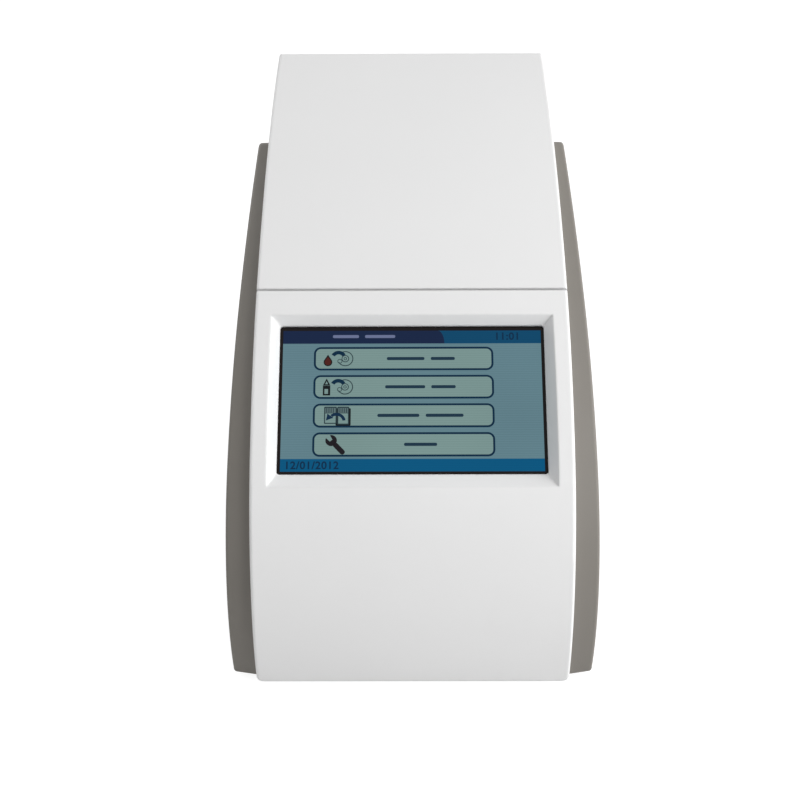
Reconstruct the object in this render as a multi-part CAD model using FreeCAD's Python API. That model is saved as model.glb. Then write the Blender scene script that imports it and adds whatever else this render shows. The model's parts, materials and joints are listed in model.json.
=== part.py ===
import FreeCAD, Part
import math
import os

os.makedirs("parts", exist_ok=True)

REACH = 300.0
Vector = FreeCAD.Vector
X_AXIS = Vector(1, 0, 0)
Y_AXIS = Vector(0, 1, 0)
Z_AXIS = Vector(0, 0, 1)
SIDES = {"left": -1, "right": 1}

# Driving dimensions of the housing, in millimetres. The front faces -Y.
overall_width = 135.0
overall_depth = 234.0
overall_height = 184.0
foot_height = 2.0
cover_width = 9.4
wall = 2.5
edge_round = 1.0

# Side profile: the front leans back in two arcs, the lid carries on in a third
front_bulge_height = 29.1
front_radius = 91.8
front_turn = 39.0
seam_setback = 72.0
seam_height = 131.2
seam_depth = 3.0
lid_corner_inset = 15.8
lid_corner_rise = 0.67
lid_corner_radius = 4.5
rear_bulge_height = 40.0
bottom_corner_radius = 3.0

# Gaps between neighbours
seam_gap = 0.8
seat_gap = 0.3
panel_gap = 0.2
running_gap = 0.05
press_gap = 0.02

# Display in the sloping front
screen_tilt = 44.0
screen_below_seam = 42.9
bezel_margin = 6.1
bezel_height = 66.0
bezel_drop = 1.3
bezel_slope = 3.1
window_height = 57.4
window_corner_radius = 1.2
recess_depth = 1.0
lip_thickness = 1.0
glass_margin = 1.4
glass_corner_radius = 1.5
glass_thickness = 1.8
boss_height = 65.0
module_thickness = 3.8
bracket_thickness = 1.2
bracket_height = 58.0
layer_gap = 0.1
display_board_gap = 1.2
display_board_margin = 6.0
bracket_hole_x = 26.0
bracket_hole_width = 32.0
bracket_hole_low = -18.0
bracket_hole_high = 12.0
bracket_stud_radius = 2.0
bracket_stud_x = 36.0
bracket_stud_u = 20.0
board_thickness = 1.6

# Side covers
cover_setback = 3.6
cover_bevel = 2.0
cover_crest_back = 157.0
cover_crest_drop = 22.7
cover_rear_drop = 30.1
cover_crest_radius = 8.0
cover_bottom = 2.5
cover_rim_radius = 1.4
crown_radius = 1743.0
crown_height = 33.0
fin_liner_thickness = 1.8
cover_boss_radius = 4.0
cover_boss_heights = (40.0, 98.0)
cover_boss_pitch = 60.0

# Disc compartment
deck_top = 118.0
deck_thickness = 2.5
deck_rear_inset = 13.0
lid_rim_gap = 0.6
well_setback = 57.48
well_radius = 38.0
well_depth = 14.0
well_wall = 2.0
finger_scoop_radius = 12.0
scoop_length = 14.0
lens_radius = 4.0
lens_x = 27.0
deck_screw_inset = 7.5
deck_screw_margin = 4.5
deck_boss_radius = 3.5
deck_boss_length = 16.0
seal_width = 3.0
seal_height = 1.2

# Lid liner and its locking tab
liner_thickness = 1.8
tab_setback = 8.0
tab_width = 12.0
tab_thickness = 3.0
tab_reach = 5.0

# Lid hinge
hinge_below_rim = 4.5
hinge_inset = 2.0
knuckle_radius = 3.2
knuckle_width = 10.0
knuckle_inset = 18.1
lug_width = 4.8
hinge_pin_radius = 1.5

# Disc cover, turntable and drive
disc_cover_margin = 3.0
disc_cover_thickness = 2.5
disc_cover_lift = 0.8
cover_axis_back = 46.0
cover_knuckle_radius = 2.6
cover_knuckle_width = 25.0
cover_pin_radius = 1.25
cover_lug_width = 4.0
cover_rim_width = 2.0
cover_rim_height = 1.5
puck_radius = 10.0
puck_flange_radius = 12.0
puck_flange_height = 2.0
turntable_radius = 31.0
turntable_thickness = 2.5
turntable_lift = 2.0
hub_radius = 10.0
hub_height = 9.0
shaft_radius = 2.0
motor_radius = 17.0
motor_height = 16.5
motor_plate_top = 89.5
motor_plate_thickness = 2.5
motor_plate_half = 28.0
motor_boss_radius = 6.0
motor_screw_circle = 11.5
optics_half_width = 8.0
optics_half_length = 9.0
optics_flange = 1.8
optics_depth = 22.0
reader_depth = 17.0
heater_thickness = 1.5

# Frame, base and boards
frame_thickness = 2.5
frame_inset = 5.0
frame_front_gap = 3.4
frame_rear_inset = 25.0
frame_bar_heights = (96.0, 106.0)
frame_bar_width = 4.0
frame_window_margin = 10.0
frame_window_low = 30.0
frame_window_top = 76.0
tray_wall_height = 9.5
tray_wall = 2.0
main_board_height = 12.0
main_board_inset = 13.1
main_board_setback = 45.0
board_post_radius = 3.5
board_post_inset = 8.0
coin_cell_radius = 10.0
coin_cell_thickness = 3.2
coin_cell_x = 24.0
coin_cell_setback = 32.0
processor_x = -14.0
processor_offset = 4.0
processor_size = 16.0
driver_x = 12.0
driver_offset = 26.0
driver_size = 12.0
header_x = -35.0
header_setback = 35.0
header_width = 6.0
header_length = 30.0
header_height = 8.0
foot_radius = 6.0
foot_recess = 1.0
foot_side_inset = 13.1
foot_end_inset = 29.0
screw_radius = 1.45
screw_head_radius = 2.9
screw_head_height = 2.2
base_screw_length = 16.0
deck_screw_length = 9.0
cover_screw_length = 7.0
motor_screw_length = 6.0
post_radius = 4.3
post_inset = 18.0

# Slots and speaker in the base
base_slot_count = 11
base_slot_width = 2.4
base_slot_length = 32.0
base_slot_inset = 55.0
speaker_x = -22.0
speaker_setback = 27.0
speaker_radius = 13.0
speaker_hole_radius = 1.3
speaker_depth = 5.0
magnet_radius = 6.0
magnet_depth = 3.0

# Rear panel
rear_split_inset = 32.0
port_height = 22.0
port_sizes = {"usb_host_port": (-12.0, 14.5, 7.2), "usb_device_port": (8.0, 12.0, 11.0)}
port_depth = 14.0
port_inset = 0.6
port_wall = 0.7
inlet_x = -36.0
inlet_width = 11.0
inlet_height = 12.0
inlet_bore_radius = 3.1
vent_width = 3.0
vent_height = 34.0
vent_pitch = 6.0
vent_count = 9
vent_centre_height = 82.0
button_radius = 5.0
button_flange = 1.5
spring_length = 3.8
button_inset = 20.1

# Lid lock
lock_travel = 4.0
plunger_radius = 1.8
plunger_retreat = 1.2
plunger_depth = 6.0
lock_height = 108.0
lock_shift = 8.3
lock_body_half = 7.3
lock_body_length = 12.0

# Places worked out from the dimensions above
front_y = -overall_depth / 2
rear_y = overall_depth / 2
half_band = overall_width / 2 - cover_width
cover_inner_x = half_band + seat_gap
cover_outer_x = overall_width / 2
lid_corner_y = rear_y - lid_corner_inset
lid_corner_z = overall_height + lid_corner_rise
bezel_width = 2 * (half_band - bezel_margin)
window_width = bezel_width - 2 * bezel_slope
rim_z = deck_top + lid_rim_gap
hinge_z = rim_z - hinge_below_rim
rear_shell_top = rim_z - 1.0
deck_bottom = deck_top - deck_thickness
well_floor = deck_top - well_depth
tray_floor_top = foot_height + wall
screw_seat = foot_height + screw_head_height + 0.8
post_x = half_band - wall - post_radius + 0.4
post_y = rear_y - post_inset
foot_x = half_band - foot_side_inset
foot_y = rear_y - foot_end_inset
base_slot_end = rear_y - base_slot_inset
speaker_y = front_y + speaker_setback
main_board_half_width = half_band - main_board_inset
main_board_front = front_y + main_board_setback
frame_half_width = half_band - frame_inset
frame_rear = rear_y - frame_rear_inset
deck_screw_x = frame_half_width - deck_screw_margin
lock_x = (well_radius + well_wall + deck_screw_x) / 2 - lock_shift
knuckle_x = half_band - knuckle_inset
button_x = half_band - button_inset
cover_crest_height = overall_height - cover_crest_drop
rear_split = rear_y - rear_split_inset
deck_rear = rear_y - deck_rear_inset
post_bottom = foot_height + tray_wall_height + 0.2
post_top = post_bottom + 18.0
cover_axis_z = deck_top + disc_cover_lift + cover_knuckle_radius + 0.1
glass_front = -recess_depth - lip_thickness
glass_back = glass_front - glass_thickness
module_back = glass_back - layer_gap - module_thickness
bracket_back = module_back - layer_gap - bracket_thickness
board_front = bracket_back - display_board_gap


def box(x_range, y_range, z_range):
    """A box from its lowest to its highest corner."""
    size = [r[1] - r[0] for r in (x_range, y_range, z_range)]
    return Part.makeBox(*size, Vector(x_range[0], y_range[0], z_range[0]))


def rod(radius, start, axis, length):
    """A round bar from its start along an axis."""
    return Part.makeCylinder(radius, length, start, axis)


def disc(radius, centre_x, centre_y, z_low, z_high):
    """An upright round bar between two heights."""
    return rod(radius, Vector(centre_x, centre_y, z_low), Z_AXIS, z_high - z_low)


def ring(outer, inner, centre_x, centre_y, z_low, z_high):
    """An upright tube between two heights."""
    return disc(outer, centre_x, centre_y, z_low, z_high).cut(
        disc(inner, centre_x, centre_y, z_low, z_high))


def fuse_all(first, others):
    """One clean solid made of several that meet."""
    return first.fuse(others).removeSplitter()


def mirrored(shape):
    """The same shape on the other side of the middle plane."""
    return shape.mirror(Vector(0, 0, 0), X_AXIS)


def save(name, shape):
    """Write one piece under its own name."""
    shape.exportStep("parts/" + name + ".step")


def heading_vector(heading):
    """Direction in the side view, as an angle from upright towards the rear."""
    return Vector(0, math.sin(heading), math.cos(heading))


def tangent_arc(start, heading, end):
    """An arc that leaves start along heading and ends at end, with its last heading."""
    chord = end - start
    half_turn = math.atan2(chord.y, chord.z) - heading
    reach = chord.Length / (2 * math.cos(half_turn / 2))
    middle = start + heading_vector(heading + half_turn / 2) * reach
    return Part.Arc(start, middle, end).toShape(), heading + 2 * half_turn


# Side outline of the white housing, shared by the shells, the lid and the covers
turn = math.radians(front_turn)
slope_start = Vector(0, front_y + front_radius * (1 - math.cos(turn)),
                     front_bulge_height + front_radius * math.sin(turn))
seam_point = Vector(0, front_y + seam_setback, seam_height)
slope_line, seam_heading = tangent_arc(slope_start, turn, seam_point)
seam_along = heading_vector(seam_heading)
seam_inward = Vector(0, seam_along.z, -seam_along.y)
lid_corner = Vector(0, lid_corner_y, lid_corner_z)
rear_rise = lid_corner_z - rear_bulge_height
rear_lean = rear_y - lid_corner_y
rear_radius = (rear_lean ** 2 + rear_rise ** 2) / (2 * rear_lean)

# Places set back from the upright part of the seam
seam_y = seam_point.y + seam_depth * seam_inward.y
well_y = seam_y + well_setback
cover_axis_y = well_y + cover_axis_back
frame_front = seam_y + frame_front_gap
tab_y = seam_y + tab_setback
deck_screw_places = [(side * deck_screw_x, y) for side in (-1, 1)
                     for y in (frame_front + deck_screw_inset, frame_rear - deck_screw_inset)]
cover_boss_places = [(well_y - cover_boss_pitch / 4, cover_boss_heights[0]),
                     (well_y + cover_boss_pitch * 3 / 4, cover_boss_heights[0]),
                     (well_y + cover_boss_pitch / 4, cover_boss_heights[1])]


def front_y_low(z):
    """Front face of the housing below the slope."""
    return front_y + front_radius - math.sqrt(front_radius ** 2 - (z - front_bulge_height) ** 2)


def rear_y_at(z):
    """Rear face of the housing at a height."""
    return rear_y - rear_radius + math.sqrt(rear_radius ** 2 - (z - rear_bulge_height) ** 2)


hinge_y = rear_y_at(hinge_z) - hinge_inset
board_rear = rear_y_at(port_height) - wall - 3.0
port_face = rear_y_at(port_height) - port_inset


def outline_face(bottom):
    """The side view of the housing, closed by a straight bottom edge."""
    low_front = Vector(0, front_y_low(bottom), bottom)
    low_rear = Vector(0, rear_y_at(bottom), bottom)
    belly = Part.Arc(low_front, Vector(0, front_y, front_bulge_height), slope_start).toShape()
    lid_line, _ = tangent_arc(seam_point, seam_heading, lid_corner)
    back = Part.Arc(lid_corner, Vector(0, rear_y, rear_bulge_height), low_rear).toShape()
    base = Part.makeLine(low_rear, low_front)
    return Part.Face(Part.Wire([belly, slope_line, lid_line, back, base]))


housing_face = outline_face(foot_height)


def body_block(inset, half_width):
    """The housing form, drawn in by a wall and extruded to a width."""
    face = housing_face
    if inset:
        face = housing_face.makeOffset2D(-inset, 2)
    block = face.extrude(X_AXIS * (2 * half_width))
    block.translate(X_AXIS * -half_width)
    cross_edges = [e for e in block.Edges if abs(e.BoundBox.XLength - 2 * half_width) < 0.01]
    top_edge = max(cross_edges, key=lambda e: e.CenterOfMass.z)
    return block.makeFillet(max(lid_corner_radius - inset, 0.8), [top_edge])


def rounded_block(half_width):
    """The outer housing form with its long side edges rounded."""
    block = body_block(0, half_width)
    long_edges = [e for e in block.Edges
                  if e.BoundBox.XLength < 0.01 and e.CenterOfMass.z > foot_height + 0.1]
    return block.makeFillet(edge_round, long_edges)


def space(y_low=-REACH, y_high=REACH, z_low=-REACH, z_high=REACH, half_width=REACH):
    """A region of space used to keep part of a form."""
    return box((-half_width, half_width), (y_low, y_high), (z_low, z_high))


def joint_space(offset, to_front):
    """Space on one side of the seam: it starts square to the outline and goes on upright."""
    start = seam_point + seam_along * offset
    knee = start + seam_inward * ((seam_y + offset - start.y) / seam_inward.y)
    top = start - seam_inward * (4 * wall)
    far = -REACH if to_front else REACH
    corners = [Vector(0, knee.y, -REACH), knee, top, Vector(0, top.y, REACH),
               Vector(0, far, REACH), Vector(0, far, -REACH)]
    region = Part.Face(Part.makePolygon(corners + corners[:1])).extrude(X_AXIS * (2 * REACH))
    region.translate(X_AXIS * -REACH)
    return region


# Local frame of the display: u runs up the slope, n points out of the face
tilt = math.radians(screen_tilt)
u_axis = Vector(0, math.cos(tilt), math.sin(tilt))
n_axis = Vector(0, -math.sin(tilt), math.cos(tilt))
screen_origin = seam_point - u_axis * screen_below_seam
screen_placement = FreeCAD.Placement(screen_origin, FreeCAD.Rotation(X_AXIS, screen_tilt))


def screen_point(x, u, n):
    """A point given across, up the slope and out of the display plane."""
    return screen_origin + X_AXIS * x + u_axis * u + n_axis * n


def screen_box(half_width, half_height, n_low, n_high, corner=0.0):
    """A plate that lies parallel to the display."""
    plate = box((-half_width, half_width), (-half_height, half_height), (n_low, n_high))
    if corner:
        uprights = [e for e in plate.Edges if e.BoundBox.ZLength > (n_high - n_low) * 0.99]
        plate = plate.makeFillet(corner, uprights)
    plate.Placement = screen_placement
    return plate


def skin_height(u):
    """How far the curved front stands above the display plane, up the slope at u."""
    line = Part.makeLine(screen_point(0, u, -wall), screen_point(0, u, 4 * wall))
    inside = housing_face.common(line)
    return -wall + inside.Length


def bezel_recess():
    """The sunken frame round the display: a flat floor and four mitred, sloping sides."""
    floor = -recess_depth
    top = 4 * wall
    half_w, half_h = window_width / 2, window_height / 2
    rim_w = bezel_width / 2
    signs = [(-1, -1), (1, -1), (1, 1), (-1, 1)]
    low = [screen_point(sx * half_w, su * half_h, floor) for sx, su in signs]
    rim_u = {su: su * bezel_height / 2 - bezel_drop for su in (-1, 1)}
    rim = [screen_point(sx * rim_w, rim_u[su], skin_height(rim_u[su])) for sx, su in signs]
    high = [screen_point(sx * rim_w, rim_u[su], top) for sx, su in signs]
    faces = [Part.Face(Part.makePolygon(low + low[:1])), Part.Face(Part.makePolygon(high + high[:1]))]
    for i in range(4):
        j = (i + 1) % 4
        low_edge = Part.makeLine(low[i], low[j])
        if i % 2 == 0:
            rim_edge = Part.makeLine(rim[i], rim[j])
        else:
            crown = screen_point(signs[i][0] * rim_w, -bezel_drop, skin_height(-bezel_drop))
            rim_edge = Part.Arc(rim[i], crown, rim[j]).toShape()
        faces.append(Part.makeRuledSurface(low_edge, rim_edge))
        upright = Part.Wire([rim_edge, Part.makeLine(rim[j], high[j]),
                             Part.makeLine(high[j], high[i]), Part.makeLine(high[i], rim[i])])
        faces.append(Part.Face(upright))
    shell = Part.makeShell(faces)
    shell.sewShape()
    solid = Part.makeSolid(shell)
    if solid.Volume < 0:
        solid.reverse()
    return solid


def screw_post(x, y, bottom, top):
    """A moulded post with a pilot hole for a self-tapping screw."""
    return ring(post_radius, screw_radius + press_gap, x, y, bottom, top)


def front_shell():
    """White front moulding with the display recess and a drop wall behind the seam."""
    back = seam_y - seam_gap / 2
    outer = rounded_block(half_band).common(joint_space(-seam_gap / 2, True))
    corners = box((-half_band, half_band), (-REACH, REACH), (foot_height, REACH))
    low_corners = [e for e in corners.Edges
                   if e.BoundBox.YLength > REACH and e.CenterOfMass.z < foot_height + 0.1]
    outer = outer.common(corners.makeFillet(bottom_corner_radius, low_corners))
    inner = body_block(wall, half_band - wall)
    hollow = inner.common(joint_space(-seam_gap / 2 - wall, True))
    below_wall = space(back - 2 * wall, REACH, -REACH, deck_bottom, half_band - wall)
    base_open = box((-half_band + wall, half_band - wall), (front_y_low(foot_height) + wall, REACH),
                    (-1, foot_height + 2 * wall))
    shell = outer.cut(hollow).cut(below_wall).cut(base_open)
    boss = screen_box(half_band - wall, boss_height / 2, glass_back, 2 * wall)
    boss = boss.common(body_block(wall / 2, half_band - wall / 2))
    boss = boss.common(joint_space(-(seam_gap + wall) / 2, True))
    shell = fuse_all(shell, [boss])
    shell = shell.cut(bezel_recess())
    shell = shell.cut(screen_box(window_width / 2, window_height / 2, -4 * wall, 0,
                                 window_corner_radius))
    shell = shell.cut(screen_box(window_width / 2 + glass_margin + seat_gap,
                                 window_height / 2 + glass_margin + seat_gap, -8 * wall, glass_front))
    posts = [screw_post(side * post_x, -post_y, post_bottom, post_top) for side in (-1, 1)]
    return fuse_all(shell, posts)


def hinge_notch(x):
    """Room in the rear wall for one knuckle of the lid."""
    half = knuckle_width / 2 + seat_gap
    return box((x - half, x + half), (hinge_y - 3 * wall, hinge_y + 3 * wall),
               (hinge_z - knuckle_radius - 2 * seat_gap, REACH))


def stadium_slot(x, z_low, z_high, width):
    """A rounded slot through the rear wall."""
    centre = box((x - width / 2, x + width / 2), (rear_y - 40, REACH), (z_low, z_high))
    ends = [rod(width / 2, Vector(x, rear_y - 40, z), Y_AXIS, REACH) for z in (z_low, z_high)]
    return centre.fuse(ends)


def rear_shell():
    """White rear moulding with the hinge lugs, the grille and the openings for the sockets."""
    outer = rounded_block(half_band).common(space(y_low=rear_split, z_high=rear_shell_top))
    inner = body_block(wall, half_band - wall)
    shell = outer.cut(inner)
    side_top = box((-half_band, half_band), (rear_split - 1, deck_rear + panel_gap),
                   (deck_bottom - panel_gap, REACH))
    base_open = box((-half_band + wall, half_band - wall), (0, rear_y_at(foot_height) - wall),
                    (-1, foot_height + 2 * wall))
    shell = shell.cut(side_top).cut(base_open)
    lugs = []
    for side in (-1, 1):
        for offset in (-1, 1):
            centre = side * knuckle_x + offset * (knuckle_width / 2 + seat_gap + lug_width / 2)
            start = Vector(centre - lug_width / 2, hinge_y, hinge_z)
            lugs.append(rod(knuckle_radius, start, X_AXIS, lug_width))
    shell = fuse_all(shell, lugs)
    bores = []
    for side in (-1, 1):
        shell = shell.cut(hinge_notch(side * knuckle_x))
        start = Vector(side * knuckle_x - 2 * knuckle_width, hinge_y, hinge_z)
        bores.append(rod(hinge_pin_radius + press_gap, start, X_AXIS, 4 * knuckle_width))
    shell = shell.cut(bores)
    first = -(vent_count - 1) / 2 * vent_pitch
    half = (vent_height - vent_width) / 2
    slots = [stadium_slot(first + i * vent_pitch, vent_centre_height - half,
                          vent_centre_height + half, vent_width) for i in range(vent_count)]
    for x, width, height in list(port_sizes.values()) + [(inlet_x, inlet_width, inlet_height)]:
        slots.append(box((x - width / 2 - panel_gap, x + width / 2 + panel_gap), (rear_y - 20, REACH),
                         (port_height - height / 2 - panel_gap, port_height + height / 2 + panel_gap)))
    slots.append(rod(button_radius + seat_gap, Vector(button_x, rear_y - 20, port_height), Y_AXIS, REACH))
    shell = shell.cut(slots)
    posts = [screw_post(side * post_x, post_y, post_bottom, post_top) for side in (-1, 1)]
    return fuse_all(shell, posts)


def base_tray():
    """Floor moulding with vent slots, foot recesses and screw bosses."""
    rim_top = foot_height + tray_wall_height
    inset = wall + seat_gap
    flat = box((-half_band + inset, half_band - inset),
               (front_y_low(foot_height) + inset, rear_y_at(foot_height) - inset),
               (foot_height, rim_top))
    hollow = box((-half_band + inset + tray_wall, half_band - inset - tray_wall),
                 (flat.BoundBox.YMin + tray_wall, flat.BoundBox.YMax - tray_wall), (tray_floor_top, REACH))
    port_relief = box((-half_band + 2 * inset, half_band - 2 * inset), (rear_y - 30, REACH),
                      (tray_floor_top + 1, REACH))
    wings = box((-half_band, half_band), (seam_y, rear_split - seat_gap), (foot_height, tray_floor_top))
    tray = flat.cut(hollow).cut(port_relief).fuse(wings)
    bosses = []
    holes = []
    for side in (-1, 1):
        for end in (-1, 1):
            boss = disc(post_radius, side * post_x, end * post_y, foot_height, rim_top)
            bosses.append(boss.common(flat))
            holes.append(disc(screw_radius + seat_gap, side * post_x, end * post_y, 0, REACH))
            holes.append(disc(screw_head_radius + seat_gap, side * post_x, end * post_y, 0, screw_seat))
            holes.append(disc(foot_radius + seat_gap, side * foot_x, end * foot_y, 0,
                              foot_height + foot_recess))
    for x, y in board_posts():
        bosses.append(disc(board_post_radius, x, y, foot_height, main_board_height))
    tray = fuse_all(tray, bosses)
    for i in range(base_slot_count):
        x = (i - (base_slot_count - 1) / 2) * vent_pitch
        holes.append(box((x - base_slot_width / 2, x + base_slot_width / 2),
                         (base_slot_end - base_slot_length, base_slot_end), (0, tray_floor_top + 0.1)))
    holes.append(disc(speaker_hole_radius, speaker_x, speaker_y, 0, tray_floor_top + 0.1))
    for i in range(6):
        angle = math.radians(60 * i)
        x = speaker_x + speaker_radius / 2 * math.cos(angle)
        y = speaker_y + speaker_radius / 2 * math.sin(angle)
        holes.append(disc(speaker_hole_radius, x, y, 0, tray_floor_top + 0.1))
    return tray.cut(holes)


def board_posts():
    """Places of the posts that carry the main board."""
    ends = (main_board_front + board_post_inset, board_rear - board_post_inset)
    return [(side * (main_board_half_width - board_post_inset), y) for side in (-1, 1) for y in ends]


def crown_form(inset):
    """Space inside the crowned side faces, drawn in by a wall."""
    radius = crown_radius - inset
    centre_x = cover_outer_x - crown_radius
    low = Vector(centre_x + math.sqrt(radius ** 2 - (crown_height + 30) ** 2), 0, -30)
    mid = Vector(centre_x + radius, 0, crown_height)
    rise = overall_height + 10 - crown_height
    high = Vector(centre_x + math.sqrt(radius ** 2 - rise ** 2), 0, overall_height + 10)
    arc = Part.Arc(low, mid, high).toShape()
    wire = Part.Wire([Part.makeLine(Vector(0, 0, -30), low), arc,
                      Part.makeLine(high, Vector(0, 0, high.z)),
                      Part.makeLine(Vector(0, 0, high.z), Vector(0, 0, -30))])
    form = Part.Face(wire).extrude(Y_AXIS * (2 * REACH))
    form.translate(Y_AXIS * -REACH)
    return form


def cover_wire(inset, drop, x):
    """Edge of a side cover at one depth: the housing line, a crest and a falling rear edge."""
    face = outline_face(-20.0).makeOffset2D(-inset, 2)
    crest_y = front_y + cover_crest_back
    fall = cover_rear_drop / (rear_y - crest_y)
    crest = Vector(0, crest_y - 2 * REACH, cover_crest_height + 2 * REACH * fall - drop)
    rear = Vector(0, rear_y + REACH, cover_crest_height - fall * (rear_y + REACH - crest_y) - drop)
    keep = Part.Face(Part.makePolygon([crest, rear, Vector(0, rear.y, -REACH),
                                       Vector(0, crest.y, -REACH), crest]))
    face = face.common(keep)
    solid = face.extrude(X_AXIS)
    ridge = [e for e in solid.Edges if abs(e.BoundBox.XLength - 1) < 0.01]
    top_edge = max(ridge, key=lambda e: e.CenterOfMass.z)
    solid = solid.makeFillet(cover_crest_radius, [top_edge])
    outline = min(solid.Faces, key=lambda f: f.CenterOfMass.x).OuterWire
    outline.translate(X_AXIS * x)
    return outline


def cover_form(inset, crown_inset):
    """A side cover's solid form, with its bevel, drawn in by a wall."""
    inner = cover_wire(cover_setback + inset, inset, cover_inner_x)
    outer = cover_wire(cover_setback + cover_bevel + inset, inset, cover_outer_x)
    form = Part.makeLoft([inner, outer], True, True)
    return form.common(crown_form(crown_inset))


def side_cover():
    """Right-hand warm grey cover: a crowned shell with a bevelled edge."""
    floor = space(z_low=cover_bottom)
    outer = cover_form(0, 0).common(floor)
    rim = [e for e in outer.Edges if e.CenterOfMass.x > cover_inner_x + 3 and e.BoundBox.XLength < 4]
    outer = outer.makeFillet(cover_rim_radius, rim)
    hollow = cover_form(wall, wall).common(space(z_low=cover_bottom + wall))
    shell = outer.cut(hollow)
    bosses = []
    for y, z in cover_boss_places:
        start = Vector(frame_half_width, y, z)
        boss = rod(cover_boss_radius, start, X_AXIS, cover_outer_x - frame_half_width)
        bosses.append(boss.common(crown_form(wall / 2)))
    shell = fuse_all(shell, bosses)
    holes = [rod(screw_radius, Vector(frame_half_width - 1, y, z), X_AXIS, 8.0)
             for y, z in cover_boss_places]
    return shell.cut(holes)


def fin_liner():
    """Plate that closes the inner side of a cover above the deck."""
    inset = cover_setback + wall + cover_bevel * fin_liner_thickness / (cover_outer_x - cover_inner_x)
    outline = cover_wire(inset + panel_gap, wall + panel_gap, cover_inner_x)
    plate = Part.Face(outline).extrude(X_AXIS * fin_liner_thickness)
    return plate.common(space(z_low=deck_bottom))


def deck_tray():
    """Floor of the disc compartment with its round well, hinge lugs and lock slot."""
    plate = box((-half_band + seat_gap, half_band - seat_gap),
                (seam_y - seam_gap / 2 + panel_gap, deck_rear), (deck_bottom, deck_top))
    cup = disc(well_radius + well_wall, 0, well_y, well_floor - deck_thickness, deck_top)
    tray = fuse_all(plate, [cup])
    tray = tray.cut(disc(well_radius, 0, well_y, well_floor, REACH))
    scoop_start = Vector(0, well_y - well_radius - 4, deck_top + finger_scoop_radius / 2)
    tray = tray.cut(rod(finger_scoop_radius, scoop_start, Y_AXIS, scoop_length))
    lugs = []
    for side in (-1, 1):
        x = side * (cover_knuckle_width / 2 + seat_gap + cover_lug_width / 2)
        x_range = (x - cover_lug_width / 2, x + cover_lug_width / 2)
        y_range = (cover_axis_y - cover_knuckle_radius, cover_axis_y + cover_knuckle_radius)
        stem = box(x_range, y_range, (deck_top - 0.5, cover_axis_z))
        eye_start = Vector(x_range[0], cover_axis_y, cover_axis_z)
        eye = rod(cover_knuckle_radius, eye_start, X_AXIS, cover_lug_width)
        lugs.append(stem.fuse(eye))
    tray = fuse_all(tray, lugs)
    cuts = [
        disc(hub_radius - 1, 0, well_y, 0, REACH),
        disc(lens_radius + seat_gap, lens_x, well_y, 0, REACH),
        disc(lens_radius + seat_gap, -lens_x, well_y, 0, REACH),
        rod(cover_pin_radius + press_gap, Vector(-30, cover_axis_y, cover_axis_z), X_AXIS, 60),
        box((lock_x - tab_width / 2 - 1, lock_x + tab_width / 2 + 1),
            (tab_y - 2.5, tab_y + tab_thickness + 1.5), (0, REACH)),
    ]
    for x, y in deck_screw_places:
        cuts.append(disc(screw_radius + seat_gap, x, y, 0, REACH))
    return tray.cut(cuts)


def chassis_frame():
    """Inner frame: two side plates, a motor plate and two cross bars."""
    plates = []
    inner_x = frame_half_width - frame_thickness
    windows = [((frame_front + frame_window_margin, well_y - motor_plate_half), frame_window_low),
               ((well_y, well_y + motor_plate_half), frame_window_low + 2 * frame_window_margin)]
    for side in (-1, 1):
        x_low = min(side * frame_half_width, side * inner_x)
        plate = box((x_low, x_low + frame_thickness), (frame_front, frame_rear),
                    (foot_height + wall, deck_bottom))
        for y_range, low in windows:
            plate = plate.cut(box((x_low - 1, x_low + frame_thickness + 1), y_range,
                                  (low, frame_window_top)))
        plates.append(plate)
    posts = [disc(deck_boss_radius, x, y, deck_bottom - deck_boss_length, deck_bottom)
             for x, y in deck_screw_places]
    motor_plate = box((-inner_x - 0.5, inner_x + 0.5),
                      (well_y - motor_plate_half, well_y + motor_plate_half),
                      (motor_plate_top - motor_plate_thickness, motor_plate_top))
    bars = [box((-inner_x - 0.5, inner_x + 0.5), (y, y + frame_bar_width), frame_bar_heights)
            for y in (frame_front, frame_rear - frame_bar_width)]
    frame = fuse_all(plates[0], plates[1:] + posts + [motor_plate] + bars)
    through = (motor_plate_top - motor_plate_thickness - 1, motor_plate_top + 1)
    cuts = [disc(motor_boss_radius + seat_gap, 0, well_y, *through)]
    for side in (-1, 1):
        x = side * lens_x
        cuts.append(box((x - optics_half_width - 0.5, x + optics_half_width + 0.5),
                        (well_y - optics_half_length - 0.5, well_y + optics_half_length + 0.5), through))
        for y, z in cover_boss_places:
            start = Vector(side * frame_half_width - 5, y, z)
            cuts.append(rod(screw_radius + seat_gap, start, X_AXIS, 10))
    for x, y in deck_screw_places:
        cuts.append(disc(screw_radius, x, y, deck_bottom - deck_boss_length + 4, REACH))
    for x, y in motor_screw_places():
        cuts.append(disc(screw_radius + press_gap, x, y, *through))
    lock_slot = box((lock_x - lock_body_half - 1, lock_x + lock_body_half + 1),
                    (frame_front - 1, frame_front + frame_bar_width + 1),
                    (lock_height - lock_body_half - 1, REACH))
    return frame.cut(cuts).cut(lock_slot)


def motor_screw_places():
    """Three screws on a circle round the motor boss."""
    angles = [math.radians(a) for a in (90, 210, 330)]
    return [(motor_screw_circle * math.cos(a), well_y + motor_screw_circle * math.sin(a)) for a in angles]


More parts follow.
